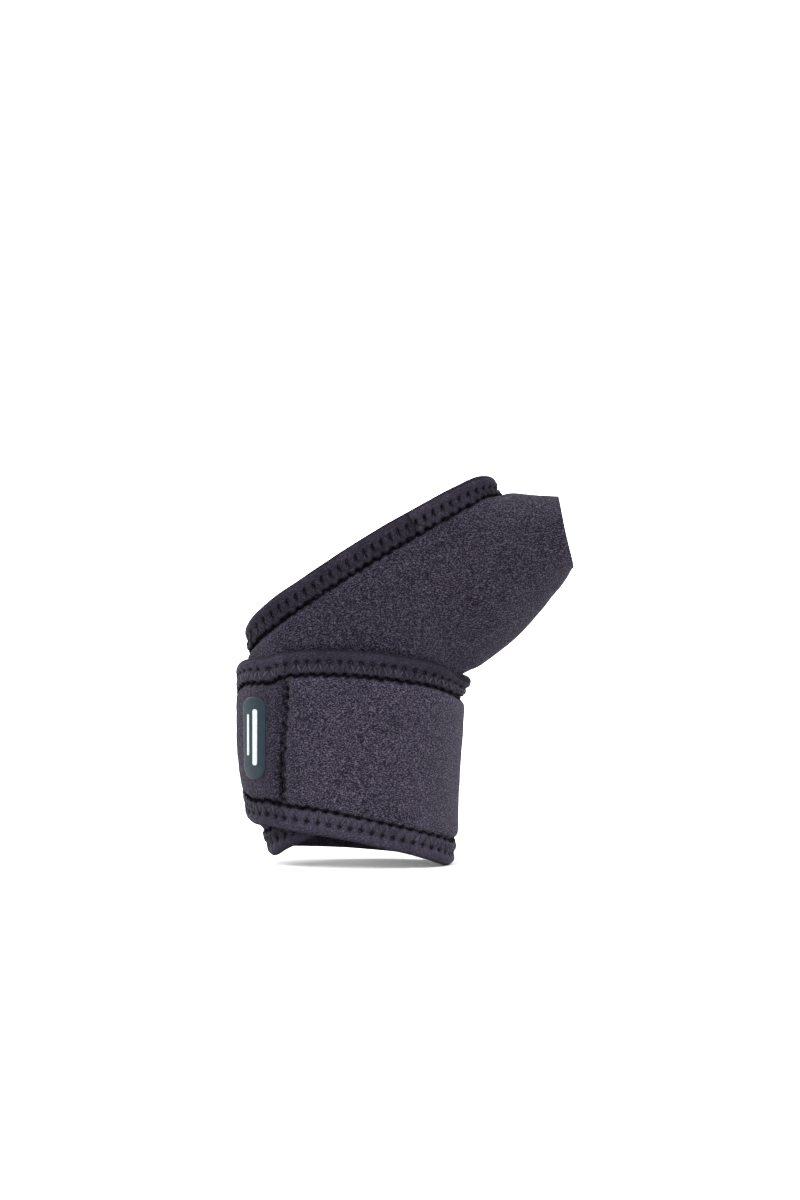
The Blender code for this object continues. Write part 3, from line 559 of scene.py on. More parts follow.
def grid_quads(rows, columns, close=False):
    """Faces of a grid of points; close joins the last column to the first."""
    i, j = np.meshgrid(np.arange(rows - 1), np.arange(columns if close else columns - 1),
                       indexing="ij")
    here, beside = i * columns + j, i * columns + (j + 1) % columns
    return np.stack([here, beside, beside + columns, here + columns], -1).reshape(-1, 4)


def tube(path, radius, sides):
    """Points and faces of an open tube along the path."""
    tangents = unit(np.gradient(path, axis=0))
    side = unit(np.cross(tangents, np.array([0.31, 0.52, 0.79])))
    other = np.cross(tangents, side)
    turn = np.linspace(0, 2 * np.pi, sides, endpoint=False)
    ring = path[:, None] + radius * (np.cos(turn)[None, :, None] * side[:, None]
                                     + np.sin(turn)[None, :, None] * other[:, None])
    return ring.reshape(-1, 3), grid_quads(len(path), sides, close=True)


def make_tubes(name, paths, radius, sides, material):
    """One mesh of many tubes."""
    points, quads, count = [], [], 0
    for path in paths:
        tube_points, tube_quads = tube(path, radius, sides)
        points.append(tube_points)
        quads.append(tube_quads + count)
        count += len(tube_points)
    return make_mesh(name, np.vstack(points), np.vstack(quads), material)


# ---- materials
class Shader:
    """A material and its nodes. Inputs are given as values or as sockets to link."""
    def __init__(self, name):
        self.material = bpy.data.materials.new(name)
        self.material.use_nodes = True
        self.tree = self.material.node_tree
        self.surface = self.tree.nodes["Principled BSDF"]
        self.place = self.node("ShaderNodeTexCoord").outputs["Object"]

    def fill(self, node, inputs):
        for key, value in inputs.items():
            if isinstance(value, bpy.types.NodeSocket):
                self.tree.links.new(value, node.inputs[key])
            else:
                node.inputs[key].default_value = value

    def node(self, kind, inputs=None, operation=None):
        made = self.tree.nodes.new(kind)
        if operation:
            made.operation = operation
        self.fill(made, inputs or {})
        return made

    def math(self, operation, first, second):
        return self.node("ShaderNodeMath", {0: first, 1: second}, operation).outputs[0]

    def texture(self, kind, scale, detail=2.0, vector=None, **more):
        inputs = {"Scale": scale, "Detail": detail, "Vector": vector or self.place, **more}
        return self.node(kind, inputs)

    def noise(self, scale, detail, **more):
        return self.texture("ShaderNodeTexNoise", scale, detail, **more).outputs["Fac"]

    def ramp(self, factor, stops):
        made = self.node("ShaderNodeValToRGB", {"Fac": factor})
        elements = made.color_ramp.elements
        for i in (0, -1):
            elements[i].position = stops[i][0]
            elements[i].color = (*stops[i][1], 1)
        for position, colour in stops[1:-1]:
            elements.new(position).color = (*colour, 1)
        return made.outputs["Color"]

    def shade(self):
        """The meshes' shade attribute: painted shade and painted light, with tone and random
        variation.
        """
        made = self.node("ShaderNodeAttribute")
        made.attribute_name = "shade"
        return made.outputs["Fac"]

    def dim_shine(self, shade, specular, sheen):
        """Takes shine and sheen away in dark places."""
        dim = self.math("MINIMUM", shade, 1.0)
        self.fill(self.surface, {"Specular IOR Level": self.math("MULTIPLY", dim, specular),
                                 "Sheen Weight": self.math("MULTIPLY", dim, sheen)})

    def finish(self, colour, brightness, height, bump, roughness, sheen_roughness, sheen_tint):
        """Colour, sheen and relief of the given bump height in mm."""
        scaled = self.node("ShaderNodeVectorMath", {0: colour, "Scale": brightness}, "SCALE")
        relief = self.node("ShaderNodeBump",
                           {"Strength": 1.0, "Distance": bump * MM, "Height": height})
        self.fill(self.surface, {
            "Base Color": scaled.outputs[0],
            "Roughness": roughness,
            "Sheen Roughness": sheen_roughness,
            "Sheen Tint": (*sheen_tint, 1),
            "Normal": relief.outputs["Normal"]})
        return self.material


def fabric(name, stops, pile, bump, sheen, roughness, shaded=False, specular=0.25):
    """Surface with specks of the given pile size in mm and broad colour variation."""
    shader = Shader(name)
    fine = shader.noise(1000 / pile, 2.0, Roughness=0.6)
    cells = shader.texture("ShaderNodeTexVoronoi", 1000 / (pile * 0.9)).outputs["Distance"]
    broad = shader.noise(70, 3.0)
    specks = shader.math("ADD", shader.math("MULTIPLY", fine, 0.75),
                         shader.math("MULTIPLY", shader.math("SUBTRACT", 1.0, cells), 0.25))
    brightness = shader.math("ADD", shader.math("MULTIPLY", broad, 0.5), 0.75)
    shader.fill(shader.surface, {"Specular IOR Level": specular, "Sheen Weight": sheen})
    if shaded:
        shade = shader.shade()
        brightness = shader.math("MULTIPLY", brightness, shade)
        shader.dim_shine(shade, specular, sheen)
    return shader.finish(shader.ramp(specks, stops), brightness, specks, bump, roughness,
                         sheen_roughness=0.45, sheen_tint=(0.6, 0.58, 0.7))


def pile_cloth(name, colours, loop_size, sheen, bump, spread):
    """Brushed cloth: light loops over dark gaps, with fine fibre between. Spread is contrast."""
    shader = Shader(name)
    stretched = shader.node("ShaderNodeMapping", {
        "Rotation": (0.0, 0.55, 0.0), "Scale": (0.72, 1.0, 1.3), "Vector": shader.place})
    loops = shader.noise(1000 / loop_size, 1.0, vector=stretched.outputs[0], Roughness=0.55)
    fibre = shader.noise(1000 / (loop_size * 0.45), 1.0, Roughness=0.5)
    patches = shader.noise(1000 / 3.2, 2.0)
    broad = shader.noise(60, 2.0)

    def centred(value, gain):
        return shader.math("MULTIPLY", shader.math("SUBTRACT", value, 0.5), gain)
    tone = shader.math("ADD", centred(loops, 1.7 * spread), centred(fibre, 0.8 * spread))
    tone = shader.math("ADD", tone, centred(patches, 0.10))
    tone = shader.math("ADD", tone, 0.5)
    colour = shader.ramp(tone, list(zip((0.22, 0.42, 0.58, 0.80), colours)))
    brightness = shader.math("ADD", shader.math("MULTIPLY", broad, 0.36), 0.82)
    shade = shader.shade()
    brightness = shader.math("MULTIPLY", brightness, shade)
    shader.dim_shine(shade, specular=0.08, sheen=sheen)
    return shader.finish(colour, brightness, tone, bump, roughness=0.95,
                         sheen_roughness=0.4, sheen_tint=(0.62, 0.58, 0.72))


CLOTH = pile_cloth(
    "loop_pile",
    ((0.0026, 0.0018, 0.0044), (0.0095, 0.0074, 0.0145), (0.0217, 0.0179, 0.0308),
     (0.085, 0.0754, 0.1109)),
    loop_size=0.37, sheen=0.115, bump=0.44, spread=1.25)
TAPE = pile_cloth(
    "edge_tape",
    ((0.0060, 0.0048, 0.0088), (0.0125, 0.0104, 0.0172), (0.0190, 0.0162, 0.0255),
     (0.040, 0.036, 0.051)),
    loop_size=0.42, sheen=0.05, bump=0.14, spread=0.6)
LINER = pile_cloth(
    "lining_jersey",
    ((0.0055, 0.0050, 0.0072), (0.0155, 0.0143, 0.0192), (0.0275, 0.0260, 0.0335),
     (0.072, 0.069, 0.086)),
    loop_size=0.55, sheen=0.06, bump=0.2, spread=0.8)
NEOPRENE = fabric(
    "neoprene_foam",
    [(0.30, (0.008, 0.008, 0.009)), (0.60, (0.018, 0.018, 0.02)), (0.80, (0.035, 0.035, 0.038))],
    pile=0.25, bump=0.06, sheen=0.0, roughness=0.85)
THREAD = fabric(
    "sewing_thread",
    [(0.30, (0.022, 0.0235, 0.032)), (0.60, (0.040, 0.0435, 0.057)),
     (0.80, (0.070, 0.074, 0.092))],
    pile=0.2, bump=0.03, sheen=0.1, roughness=0.5, shaded=True)
DARK_THREAD = fabric(
    "seam_thread", [(0.30, (0.006, 0.005, 0.008)), (0.80, (0.020, 0.018, 0.026))],
    pile=0.2, bump=0.03, sheen=0.0, roughness=0.6)
HOOK_NYLON = fabric(
    "hook_nylon", [(0.30, (0.006, 0.006, 0.007)), (0.80, (0.018, 0.018, 0.02))],
    pile=0.5, bump=0.02, sheen=0.0, roughness=0.38)
SILICONE = fabric(
    "badge_silicone", [(0.30, (0.007, 0.015, 0.021)), (0.80, (0.010, 0.020, 0.027))],
    pile=2.0, bump=0.01, sheen=0.0, roughness=0.42, specular=0.13)
PRINT = fabric(
    "badge_print", [(0.30, (0.34, 0.36, 0.37)), (0.80, (0.44, 0.46, 0.47))],
    pile=1.5, bump=0.005, sheen=0.0, roughness=0.5)


# ---- sewn edges
class SewnEdge:
    """Addresses points near an edge by length along it, inset and height."""
    INSETS = (0.0, 1.5, 3.0, 4.5, 5.6, TAPE_WIDTH, TAPE_WIDTH + 1.5)
    STATION = 0.65               # mm between stations
    SQUARED = 14                 # stations at each end that ease into a straight butt end

    def __init__(self, outline, side, pitch=PITCH):
        points = place(outline[:, 0], outline[:, 1])
        length = np.linalg.norm(np.diff(points, axis=0), axis=1).sum()
        self.spots = evenly_spaced(outline, int(round(length / self.STATION)))
        rows, self.inward = inset_rows(self.spots, self.INSETS, side)
        leans = ease(0, 1, np.arange(self.SQUARED) / (self.SQUARED - 1))[::-1]
        for k, lean in enumerate(leans):
            for i in (k, len(rows) - 1 - k):
                sign = 1 if rows[i, -1, 1] > rows[i, 0, 1] else -1
                straight = self.spots[i] + np.outer(sign * np.array(self.INSETS[1:]), (0, 1))
                rows[i, 1:] = rows[i, 1:] * (1 - lean) + straight * lean
        self.points = place(rows[..., 0], rows[..., 1])
        self.normals = normals_at(self.points, rows[..., 0])
        self.lengths = lengths_along(self.points[:, 0])
        self.length = float(self.lengths[-1])
        # A whole number of stitches, so that pieces meet at a hole.
        self.pitch = self.lengths[-1] / round(self.lengths[-1] / pitch)

    def at(self, along, inset, height):
        """Points over the wrist side; a negative inset is outside the edge."""
        along, inset, height = np.broadcast_arrays(
            np.asarray(along, float), np.asarray(inset, float), np.asarray(height, float))
        lengths, insets = self.lengths, np.array(self.INSETS)
        i = np.clip(np.searchsorted(lengths, along, side="right") - 1, 0, len(lengths) - 2)
        f = ((along - lengths[i]) / (lengths[i + 1] - lengths[i]))[..., None]
        within = np.clip(inset, 0, insets[-1])
        j = np.clip(np.searchsorted(insets, within, side="right") - 1, 0, len(insets) - 2)
        g = ((within - insets[j]) / (insets[j + 1] - insets[j]))[..., None]

        def blend(table):
            return ((table[i, j] * (1 - g) + table[i, j + 1] * g) * (1 - f)
                    + (table[i + 1, j] * (1 - g) + table[i + 1, j + 1] * g) * f)
        inward = unit(self.inward[i] * (1 - f) + self.inward[i + 1] * f)
        return (blend(self.points) - np.maximum(-inset, 0)[..., None] * inward
                + height[..., None] * unit(blend(self.normals)))

    def stitch_of(self, spots, insets):
        """Stitch count at the nearest station, for spots close to an edge."""
        stitches = np.zeros(len(spots))
        close = np.where(insets < 12)[0]
        squash = np.array([0.5, 1.0])          # about mm per degree and per mm of height
        stations, wanted = self.spots * squash, spots[close] * squash
        for i in range(0, len(close), 2000):   # in batches, to save memory
            gaps = ((wanted[i:i + 2000, None] - stations[None])**2).sum(-1)
            stitches[close[i:i + 2000]] = self.lengths[gaps.argmin(1)] / self.pitch
        return stitches


def from_outer_hole(stitch):
    """Distance along the edge to the nearest outer needle hole (mm); they lie at whole counts."""
    return np.abs((stitch + 0.5) % 1 - 0.5) * PITCH


def hole_nearness(stitch, inset):
    """How near a point is to the outer and inner needle holes, 0 to 1 each."""
    reach = (from_outer_hole(stitch) / 0.62)**2 + ((inset - HOLE_OUT) / 0.72)**2
    inner = bell(from_outer_hole(stitch + 0.5), 0.55) * bell(inset - HOLE_IN, 0.45)
    return np.exp(-np.maximum(reach - 0.25, 0) * 1.6), inner


def tape_relief(stitch, inset, deep=0.6):
    """Height of the sewn tape over its flat state, and its painted shade: in the needle holes,
    creases and pleats, along the row of holes, on the fold's underside and at the cut side. Deep
    tape has sharp slots.
    """
    outer_hole, inner_hole = hole_nearness(stitch, inset)
    phase = 2 * np.pi * stitch
    past = inset - HOLE_OUT
    roll = hill(inset - 0.9, 2.0)              # rounded fold at the edge
    field = hill(inset - 4.6, 1.75)            # between the two rows of holes
    pleat = np.cos(2 * phase + 1.3) + 0.6 * np.cos(3.1 * phase + 0.7 * np.sin(0.37 * phase))
    height = (0.34 * roll * (1 - 0.16 * np.cos(phase)) - 0.14 * bell(past, 0.6)
              - 0.95 * outer_hole - 0.6 * inner_hole)
    height = height + field * (0.10 - 0.085 * pleat) - 0.15 * bell(inset - TAPE_WIDTH + 0.1, 0.4)
    crease = (bell(from_outer_hole(stitch) - 0.15, 0.36)
              * ease(HOLE_OUT - 0.3, HOLE_OUT + 0.4, inset) * (1 - ease(4.0, 5.6, inset)))
    height = height - 0.2 * deep * crease
    if deep > 0.8:
        # Leaning slots take the place of the round outer holes.
        lean = from_outer_hole(stitch + 0.5 * past / PITCH)
        slot = (np.exp(-(lean / 0.34)**4) * ease(HOLE_OUT - 1.0, HOLE_OUT - 0.5, inset)
                * (1 - ease(HOLE_OUT + 0.7, HOLE_OUT + 1.7, inset)))
        height = height + 0.95 * outer_hole - 1.0 * slot
        outer_hole = slot
    # Painted shade: the holes, creases, pleats, the fold's underside and the cut side are darkened.
    shade = (1.08 - 1.04 * outer_hole - 0.7 * inner_hole - 0.55 * deep * crease
             - 0.5 * (1 - ease(-0.7, 0.1, inset))                          # round the fold
             - 0.20 * bell(past - 0.25, 0.6) * (0.6 + 0.4 * np.cos(phase))
             - 0.12 * field * pleat
             - 0.80 * ease(TAPE_WIDTH - 0.75, TAPE_WIDTH - 0.2, inset))    # cut side
    return height, np.clip(shade, 0.04, 1.25)


TAPE_STATION = 0.42
# Tape section: insets and heights of the outer leg, from the cut side to the fold...
OUTER_INSETS = np.array([
    6.7, 6.78, 6.7, 6.55, 6.3, 6.05, 5.75, 5.4, 5.05, 4.7, 4.35, 4.0, 3.65, 3.35, 3.1, 2.87,
    2.65, 2.35, 1.95, 1.5, 1.0, 0.5, 0.0, -0.45, -0.75])
OUTER_HEIGHTS = np.array([2.42, 2.7, 2.95] + [TAPE_FACE] * 18 + [2.95, 2.85, 2.6, 2.3])
# ...and of the inner leg, from the fold back to the cut side.
INNER_INSETS = np.array([
    -0.9, -0.9, -0.75, -0.4, 0.0, 0.7, 1.6, 2.5, 2.85, 3.2, 4.0, 4.7, 5.3, 5.9, 6.25, 6.6, 6.7])
INNER_HEIGHTS = np.array([
    1.9, 1.2, 0.75, 0.4, 0.22, 0.15, 0.15, 0.15, 0.2, 0.15, 0.15, 0.15, 0.15, 0.15, 0.18, 0.3,
    0.7])
RAISED_LENGTH = 7.0              # a raised start sinks back over this length


def start_rise(rise, along, start):
    return rise * (1 - ease(0, RAISED_LENGTH, along - start))


def folded_tape(name, edge, start, end, raise_start=0.0, tone=1.0, deep=0.6):
    """Tape folded round the edge, from one length along it to another."""
    count = max(8, int(round((end - start) / TAPE_STATION)))
    along = np.linspace(start, end, count + 1)[:, None]
    stitch = along / edge.pitch
    relief, outer_shade = tape_relief(stitch, OUTER_INSETS[None], deep)
    face = (OUTER_HEIGHTS >= 2.94)[None]
    zero = 0 * along[:, 0]
    ragged = noise(np.stack([3.1 * along[:, 0], zero, zero], -1), 3.4, 21)[:, None]
    raggedness = 0.26 + 0.2 * (deep > 0.8)
    wave = ((0.20 * np.cos(2 * np.pi * stitch) + raggedness * ragged)
            * (OUTER_INSETS > 6.2)[None])      # the cut side wanders
    if raise_start:
        outer_shade = outer_shade * (1 - 0.75 * bell(along - start, 0.7))
    outer = edge.at(along, OUTER_INSETS[None] + wave,
                    OUTER_HEIGHTS[None] + relief * face
                    + 0.5 * relief * ~face * (OUTER_INSETS < 1)
                    + start_rise(raise_start, along, start))
    relief, inner_shade = tape_relief(stitch, INNER_INSETS[None])
    inner = edge.at(along, INNER_INSETS[None],
                    INNER_HEIGHTS[None]
                    - 0.25 * np.maximum(relief, -0.5) * (INNER_HEIGHTS < 0.4)[None])
    points = np.concatenate([outer, inner], 1)
    shade = tone * np.concatenate([outer_shade, np.clip(inner_shade, 0.4, 1)], 1)
    shade = shade * (1 + 0.10 * noise(points, 6.0, 9))
    return make_mesh(name, points.reshape(-1, 3),
                     grid_quads(count + 1, points.shape[1], close=True),
                     TAPE, shade.ravel())


def zigzag(name, edge, start, end, inside=False, tone=1.0, raise_start=0.0):
    """One zigzag thread that lies on the tape, outside or inside, and dives into its holes."""
    parts, sides = (3, 4) if inside else (8, 6)       # points per half stitch, tube sides
    first, last = start / edge.pitch, end / edge.pitch
    stitch = np.arange(np.floor(first * 2) - 1, np.ceil(last * 2) + 1.01, 1 / parts) / 2
    stitch = stitch[(stitch > first + 0.02) & (stitch < last - 0.02)]
    stitch = np.concatenate([[first], stitch, [last]])
    outward = np.abs(stitch % 1 - 0.5) * 2            # 1 at an outer hole, 0 at an inner one
    inset = HOLE_IN + (HOLE_OUT - HOLE_IN) * outward
    relief, _ = tape_relief(stitch, inset)
    bow = ease(0.0, 0.22, outward) * (1 - ease(0.62, 0.95, outward))
    if inside:
        height = 0.16 - 0.14 * bow
    else:
        height = (TAPE_FACE + np.maximum(relief, -0.1) * bow + 0.11 * bow - 0.55 * (1 - bow)
                  + start_rise(raise_start, stitch * edge.pitch, start))
    path = edge.at(stitch * edge.pitch, inset, height)
    points, quads = tube(path, 0.17, sides)
    worn = 0.8 + 0.5 * noise(path, 3.0, 5)
    # The thread is painted dark where it dives into the holes: painted shade.
    shade = np.repeat(tone * worn * (0.2 + 0.8 * bow), sides)
    return make_mesh(name, points, quads, THREAD, shade)


# ---- cloth, foam and lining
def cloth_relief(points, inset, stitch):
    """Height and shade of the loop cloth: pressed under the tape, puffed beside it."""
    past = inset - TAPE_WIDTH
    free = ease(TAPE_WIDTH - 0.1, TAPE_WIDTH + 1.7, inset)
    wave = np.cos(2 * np.pi * stitch)
    height = 2.2 + 1.0 * free + 0.16 * bell(past - 2.3, 1.2)
    height = height - bell(past - 0.7, 0.7) * (0.34 - 0.13 * wave)
    height = height + 0.35 * ease(TAPE_WIDTH + 0.6, TAPE_WIDTH + 5.0, inset)
    height = height + free * (0.17 * noise(points, 13.0, 1) + 0.08 * noise(points, 5.0, 2)
                              + 0.07 * noise(points, 1.8, 3))
    ragged = 0.38 * wave + 0.40 * noise(points, 1.5, 11)
    shadow = bell(np.maximum(np.abs(past - 0.15 - ragged) - 0.30, 0), 0.45)
    return height, np.clip(1 - 0.92 * shadow, 0.1, 1)


def boundary(faces):
    """Directed face edges that no other face shares."""
    used = dict.fromkeys((int(a), int(b)) for face in faces
                         for a, b in zip(face, face[1:] + face[:1]))
    return [(a, b) for a, b in used if (b, a) not in used]


def shell(name, sheet, full, sewn, fade, material):
    """Closed layer between two heights, thinner under the tape; fade is the step's width."""
    points, normals, insets = sheet.surface()
    free = ease(TAPE_WIDTH, TAPE_WIDTH + fade, insets)[:, None]
    low = sewn[0] + (full[0] - sewn[0]) * free
    high = sewn[1] + (full[1] - sewn[1]) * free
    count = len(points)
    faces = np.array(sheet.faces)
    walls = np.array([(b + count, a + count, a, b) for a, b in boundary(sheet.faces)])
    return make_mesh(name, np.vstack([points + low * normals, points + high * normals]),
                     np.vstack([faces + count, faces[:, ::-1], walls]),
                     material, np.ones(2 * count))


def cloth(name, sheet, stitch_of, groove, walled=None, tone=1.0):
    """Outer face of the loop cloth, with a short wall down to the foam where walled says so."""
    points, normals, insets = sheet.surface()
    spots = np.array(sheet.spots)
    height, shade = cloth_relief(points, insets, stitch_of(spots, insets))
    depth, shadow = groove(spots, insets)
    height, shade = height - depth, shade * shadow
    mesh_points = points + height[:, None] * normals
    quads = np.array(sheet.faces)
    if walled is not None:
        rim = [(a, b) for a, b in boundary(sheet.faces)
               if walled(spots[a], insets[a]) and walled(spots[b], insets[b])]
        ids = sorted({a for pair in rim for a in pair})
        low = {a: len(points) + i for i, a in enumerate(ids)}
        mesh_points = np.vstack([mesh_points, points[ids] + 2.42 * normals[ids]])
        shade = np.concatenate([shade, np.full(len(ids), 0.7)])
        quads = np.vstack([quads, np.array([(b, a, low[a], low[b]) for a, b in rim])])
    return make_mesh(name, mesh_points, quads, CLOTH, shade * tone)


def seam_angle(z):
    """Where the seam runs at each height: it leans, and wanders a little between stitches."""
    return (TAB_ANGLE - 2.55 * (z - 17.0) / 42.0 + 0.62 * np.sin(z * 2 * np.pi / SEAM_PITCH)
            + 0.45 * np.sin(z * 1.13 + 1.0))


def seam_groove(spots, insets):
    """Depth and shadow of the stitched line at the start of the hook patch."""
    heights = spots[:, 1]
    away = np.abs(spots[:, 0] - seam_angle(heights)) * 0.49          # mm, at 0.49 mm per degree
    inner = ease(TAPE_WIDTH - 0.1, TAPE_WIDTH + 0.8, insets)
    phase = heights * 2 * np.pi / SEAM_PITCH
    wobble = 1 + 0.22 * np.sin(phase)
    puff = 0.16 * bell(away - 2.6, 1.2) * (1 + 0.5 * np.sin(phase + 1.0))
    depth = inner * (1.15 * bell(away, 0.75) * wobble + 0.2 * bell(away, 1.6) - puff)
    shadow = 1 - 0.94 * bell(np.maximum(away - 0.25, 0), 0.42) * inner - 0.17 * bell(away, 7.0)
    return depth, shadow


def strap_dent_and_shadow(spots, insets):
    """The strap's top edge leaves a light pressed dent on the first turn's cloth, with painted
    shadow along it under the strap's edge.
    """
    angle = spots[:, 0] + 360
    above = spots[:, 1] - (top_edge(angle) + 0.6)
    dent_and_shadow = ease(352, 360, angle) * (1 - ease(530, 545, angle)) * bell(above, 1.0)
    # A dent 0.35 mm deep, darkened with painted shadow.
    return 0.35 * dent_and_shadow, 1 - 0.35 * dent_and_shadow


# ---- build the edges and layers
wrap_angles = np.linspace(SPLIT_ANGLE, 90, 150)
WRAP_EDGE = SewnEdge(np.vstack([edge_spots(top_edge, wrap_angles)[:-1],
                                outline_curve(THUMB_OUTLINE),
                                edge_spots(bottom_edge, wrap_angles)[::-1][1:]]),
                     1.0, WRAP_PITCH)
strap_angles = np.linspace(SPLIT_ANGLE, TAB_ANGLE, 120)
STRAP_TOP = SewnEdge(edge_spots(top_edge, strap_angles), -1.0)
STRAP_BOTTOM = SewnEdge(edge_spots(bottom_edge, strap_angles), 1.0)
TAB_EDGE = SewnEdge(tab_outline(), -1.0)

FINE = 0.85           # face size of the loop cloth
FINE_INSETS = tuple(TAPE_WIDTH + x for x in (-6.7, -3.0, -0.7, -0.1, 0.3, 0.7, 1.2, 1.8, 2.4, 3.0))
# On the tab this darkening is painted shade, as the tab curves away from the light.
HAND_TONE_AND_TAB_SHADE = 0.76                             # cloth of the first turn and the tab is darker


def faces_over(length):
    return int(length / FINE)


def on_thumb_hole(spot, inset):
    """True for boundary corners that are neither on the sewn edge nor on the split."""
    return inset > 15 and spot[0] < SPLIT_ANGLE - 1


def strap_stitch_of(spots, insets):
    return np.where(spots[:, 1] > 36, STRAP_TOP.stitch_of(spots, insets),
                    STRAP_BOTTOM.stitch_of(spots, insets))


def wrap_layers():
    fine = wrap_sheet(faces_over(112), faces_over(218), faces_over(58), faces_over(72),
                      FINE_INSETS)
    rough = wrap_sheet(56, 100, 26, 30, (0.0, TAPE_WIDTH, TAPE_WIDTH + 1.5, TAPE_WIDTH + 3.0))
    return [
        ("wrap_loop_cloth", cloth("wrap_cloth", fine, WRAP_EDGE.stitch_of, strap_dent_and_shadow,
                                  on_thumb_hole, HAND_TONE_AND_TAB_SHADE)),
        ("wrap_foam", shell("wrap_foam_core", rough, (0.55, 2.40), FOAM_SEWN, 1.5,
                            NEOPRENE)),
        ("wrap_lining", shell("wrap_inner_lining", rough, LINING, LINING_SEWN, 1.5,
                              LINER))]


def strap_layers():
    fine = strap_sheet(faces_over(64), faces_over(42), FINE_INSETS)
    rough = strap_sheet(40, 16, FINE_INSETS)
    return [
        ("strap_loop_cloth", cloth("strap_cloth", fine, strap_stitch_of, seam_groove)),
        ("strap_foam", shell("strap_foam_core", rough, (0.55, 2.30), FOAM_SEWN, 1.2,
                             NEOPRENE)),
        ("strap_lining", shell("strap_inner_lining", rough, LINING, LINING_SEWN, 1.2,
                               LINER))]


def tab_layers(rough):
    """The tab's lining and foam are thinner on the wrist side, to make room for the hooks."""
    fine, _ = tab_sheet(faces_over(56), faces_over(30), FINE_INSETS)
    return [
        ("tab_loop_cloth", cloth("tab_cloth", fine, TAB_EDGE.stitch_of, seam_groove,
                                 tone=HAND_TONE_AND_TAB_SHADE)),
        ("tab_foam", shell("tab_foam_core", rough, (1.3, 2.30), FOAM_SEWN, 1.2,
                           NEOPRENE)),
        ("tab_lining", shell("tab_inner_lining", rough, (0.9, 1.2), LINING_SEWN, 0.5,
                             LINER))]


# Each list holds (name of the CAD piece it replaces, or None, and the object).
WRAP = wrap_layers()
STRAP = strap_layers()
ROUGH_TAB, HOOK_SPOTS = tab_sheet(16, 12, (0.0, TAPE_WIDTH, TAPE_WIDTH + 0.5, TAPE_WIDTH + 1.2))
TAB = tab_layers(ROUGH_TAB)


# ---- edge tape and its stitching
def wrap_tapes():
    """Upper and lower tapes of the first turn; the lower one starts on top of the upper."""
    spots, end = WRAP_EDGE.spots, WRAP_EDGE.length
    # The low part of the edge passes the same angle, so it is ruled out.
    miss = np.abs(spots[:, 0] - TAPE_JOIN_ANGLE) + 100 * (spots[:, 1] < 90)
    join = float(WRAP_EDGE.lengths[np.argmin(miss)])
    return [
        ("upper_edge_tape", folded_tape("upper_tape", WRAP_EDGE, 0.0, join + 2.0,
                                        tone=0.70, deep=1.0)),
        ("lower_edge_tape", folded_tape("lower_tape", WRAP_EDGE, join - 1.5, end,
                                        raise_start=0.5, tone=0.86, deep=1.0)),
        (None, zigzag("upper_tape_thread", WRAP_EDGE, 0.0, join - 1.6, tone=0.36)),
        (None, zigzag("lower_tape_thread", WRAP_EDGE, join - 1.3, end, tone=0.42,
                      raise_start=0.5)),
        (None, zigzag("upper_tape_under_thread", WRAP_EDGE, 0.0, join, inside=True)),
        (None, zigzag("lower_tape_under_thread", WRAP_EDGE, join, end, inside=True))]


def full_tape(cad_name, name, thread_name, edge, tone):
    """Tape and both threads along a whole edge."""
    return [
        (cad_name, folded_tape(name, edge, 0.0, edge.length, tone=tone)),
        (None, zigzag(f"{thread_name}_thread", edge, 0.0, edge.length, tone=0.85)),
        (None, zigzag(f"{thread_name}_under_thread", edge, 0.0, edge.length, inside=True))]


WRAP += wrap_tapes()
# The strap's bottom tape is painted lighter, painted light where it faces down away from the lamps;
# the top tape is painted darker.
for tag, sewn_edge, tape_tone_and_painted_light in (("top", STRAP_TOP, 0.76), ("bottom", STRAP_BOTTOM, 1.26)):
    STRAP += full_tape(f"strap_{tag}_tape", f"strap_{tag}_edge_tape", f"strap_{tag}",
                       sewn_edge, tape_tone_and_painted_light)
TAB += full_tape("tab_edge_tape", "tab_edge_tape_folded", "tab", TAB_EDGE, 0.95)


# ---- hook patch: a thin nylon sheet with small hooks on the wrist side
HOOK_SHEET = (0.35, 0.80)        # heights of its two faces
# Hook path from root to tip: height over the wrist side, and reach along the tab.
HOOK_PATH = ((0.40, 0), (0.12, 0), (-0.02, 0.12), (0.08, 0.30))


def hook_sheet(points, normals):
    rows, columns = points.shape[:2]
    count = rows * columns
    low, high = (points + height * normals for height in HOOK_SHEET)
    quads = grid_quads(rows, columns)
    ids = np.arange(count).reshape(rows, columns)
    rim = np.concatenate([ids[:, 0], ids[-1, 1:], ids[:-1, -1][::-1], ids[0, 1:-1][::-1]])
    following = np.roll(rim, -1)
    walls = np.stack([rim, following, following + count, rim + count], -1)
    return make_mesh("hook_patch_sheet", np.vstack([low.reshape(-1, 3), high.reshape(-1, 3)]),
                     np.vstack([quads, quads[:, ::-1] + count, walls]),
                     HOOK_NYLON)


def hook_paths(points, normals):
    rows, columns = points.shape[:2]
    hook_rows, hook_columns = ((26, 18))
    for a in np.linspace(0.03, 0.97, hook_rows) * (rows - 1):
        for b in np.linspace(0.03, 0.97, hook_columns) * (columns - 1):
            i, j = int(min(a, rows - 2)), int(min(b, columns - 2))
            f, g = a - i, b - j
            corners = (((1 - f) * (1 - g), (i, j)), (f * (1 - g), (i + 1, j)),
                       (f * g, (i + 1, j + 1)), ((1 - f) * g, (i, j + 1)))
            root = sum(weight * points[corner] for weight, corner in corners)
            normal = unit(sum(weight * normals[corner] for weight, corner in corners))
            along = unit(points[i + 1, j] - points[i, j])
            way = 1 if (int(a) + int(b)) % 2 else -1
            yield np.array([root + height * normal + reach * way * along
                            for height, reach in HOOK_PATH])


def hook_patch():
    points = place(HOOK_SPOTS[..., 0], HOOK_SPOTS[..., 1])
    normals = normals_at(points, HOOK_SPOTS[..., 0])
    return [("hook_patch", hook_sheet(points, normals)),
            (None, make_tubes("hook_patch_hooks", hook_paths(points, normals), 0.09, 4,
                              HOOK_NYLON))]


TAB += hook_patch()


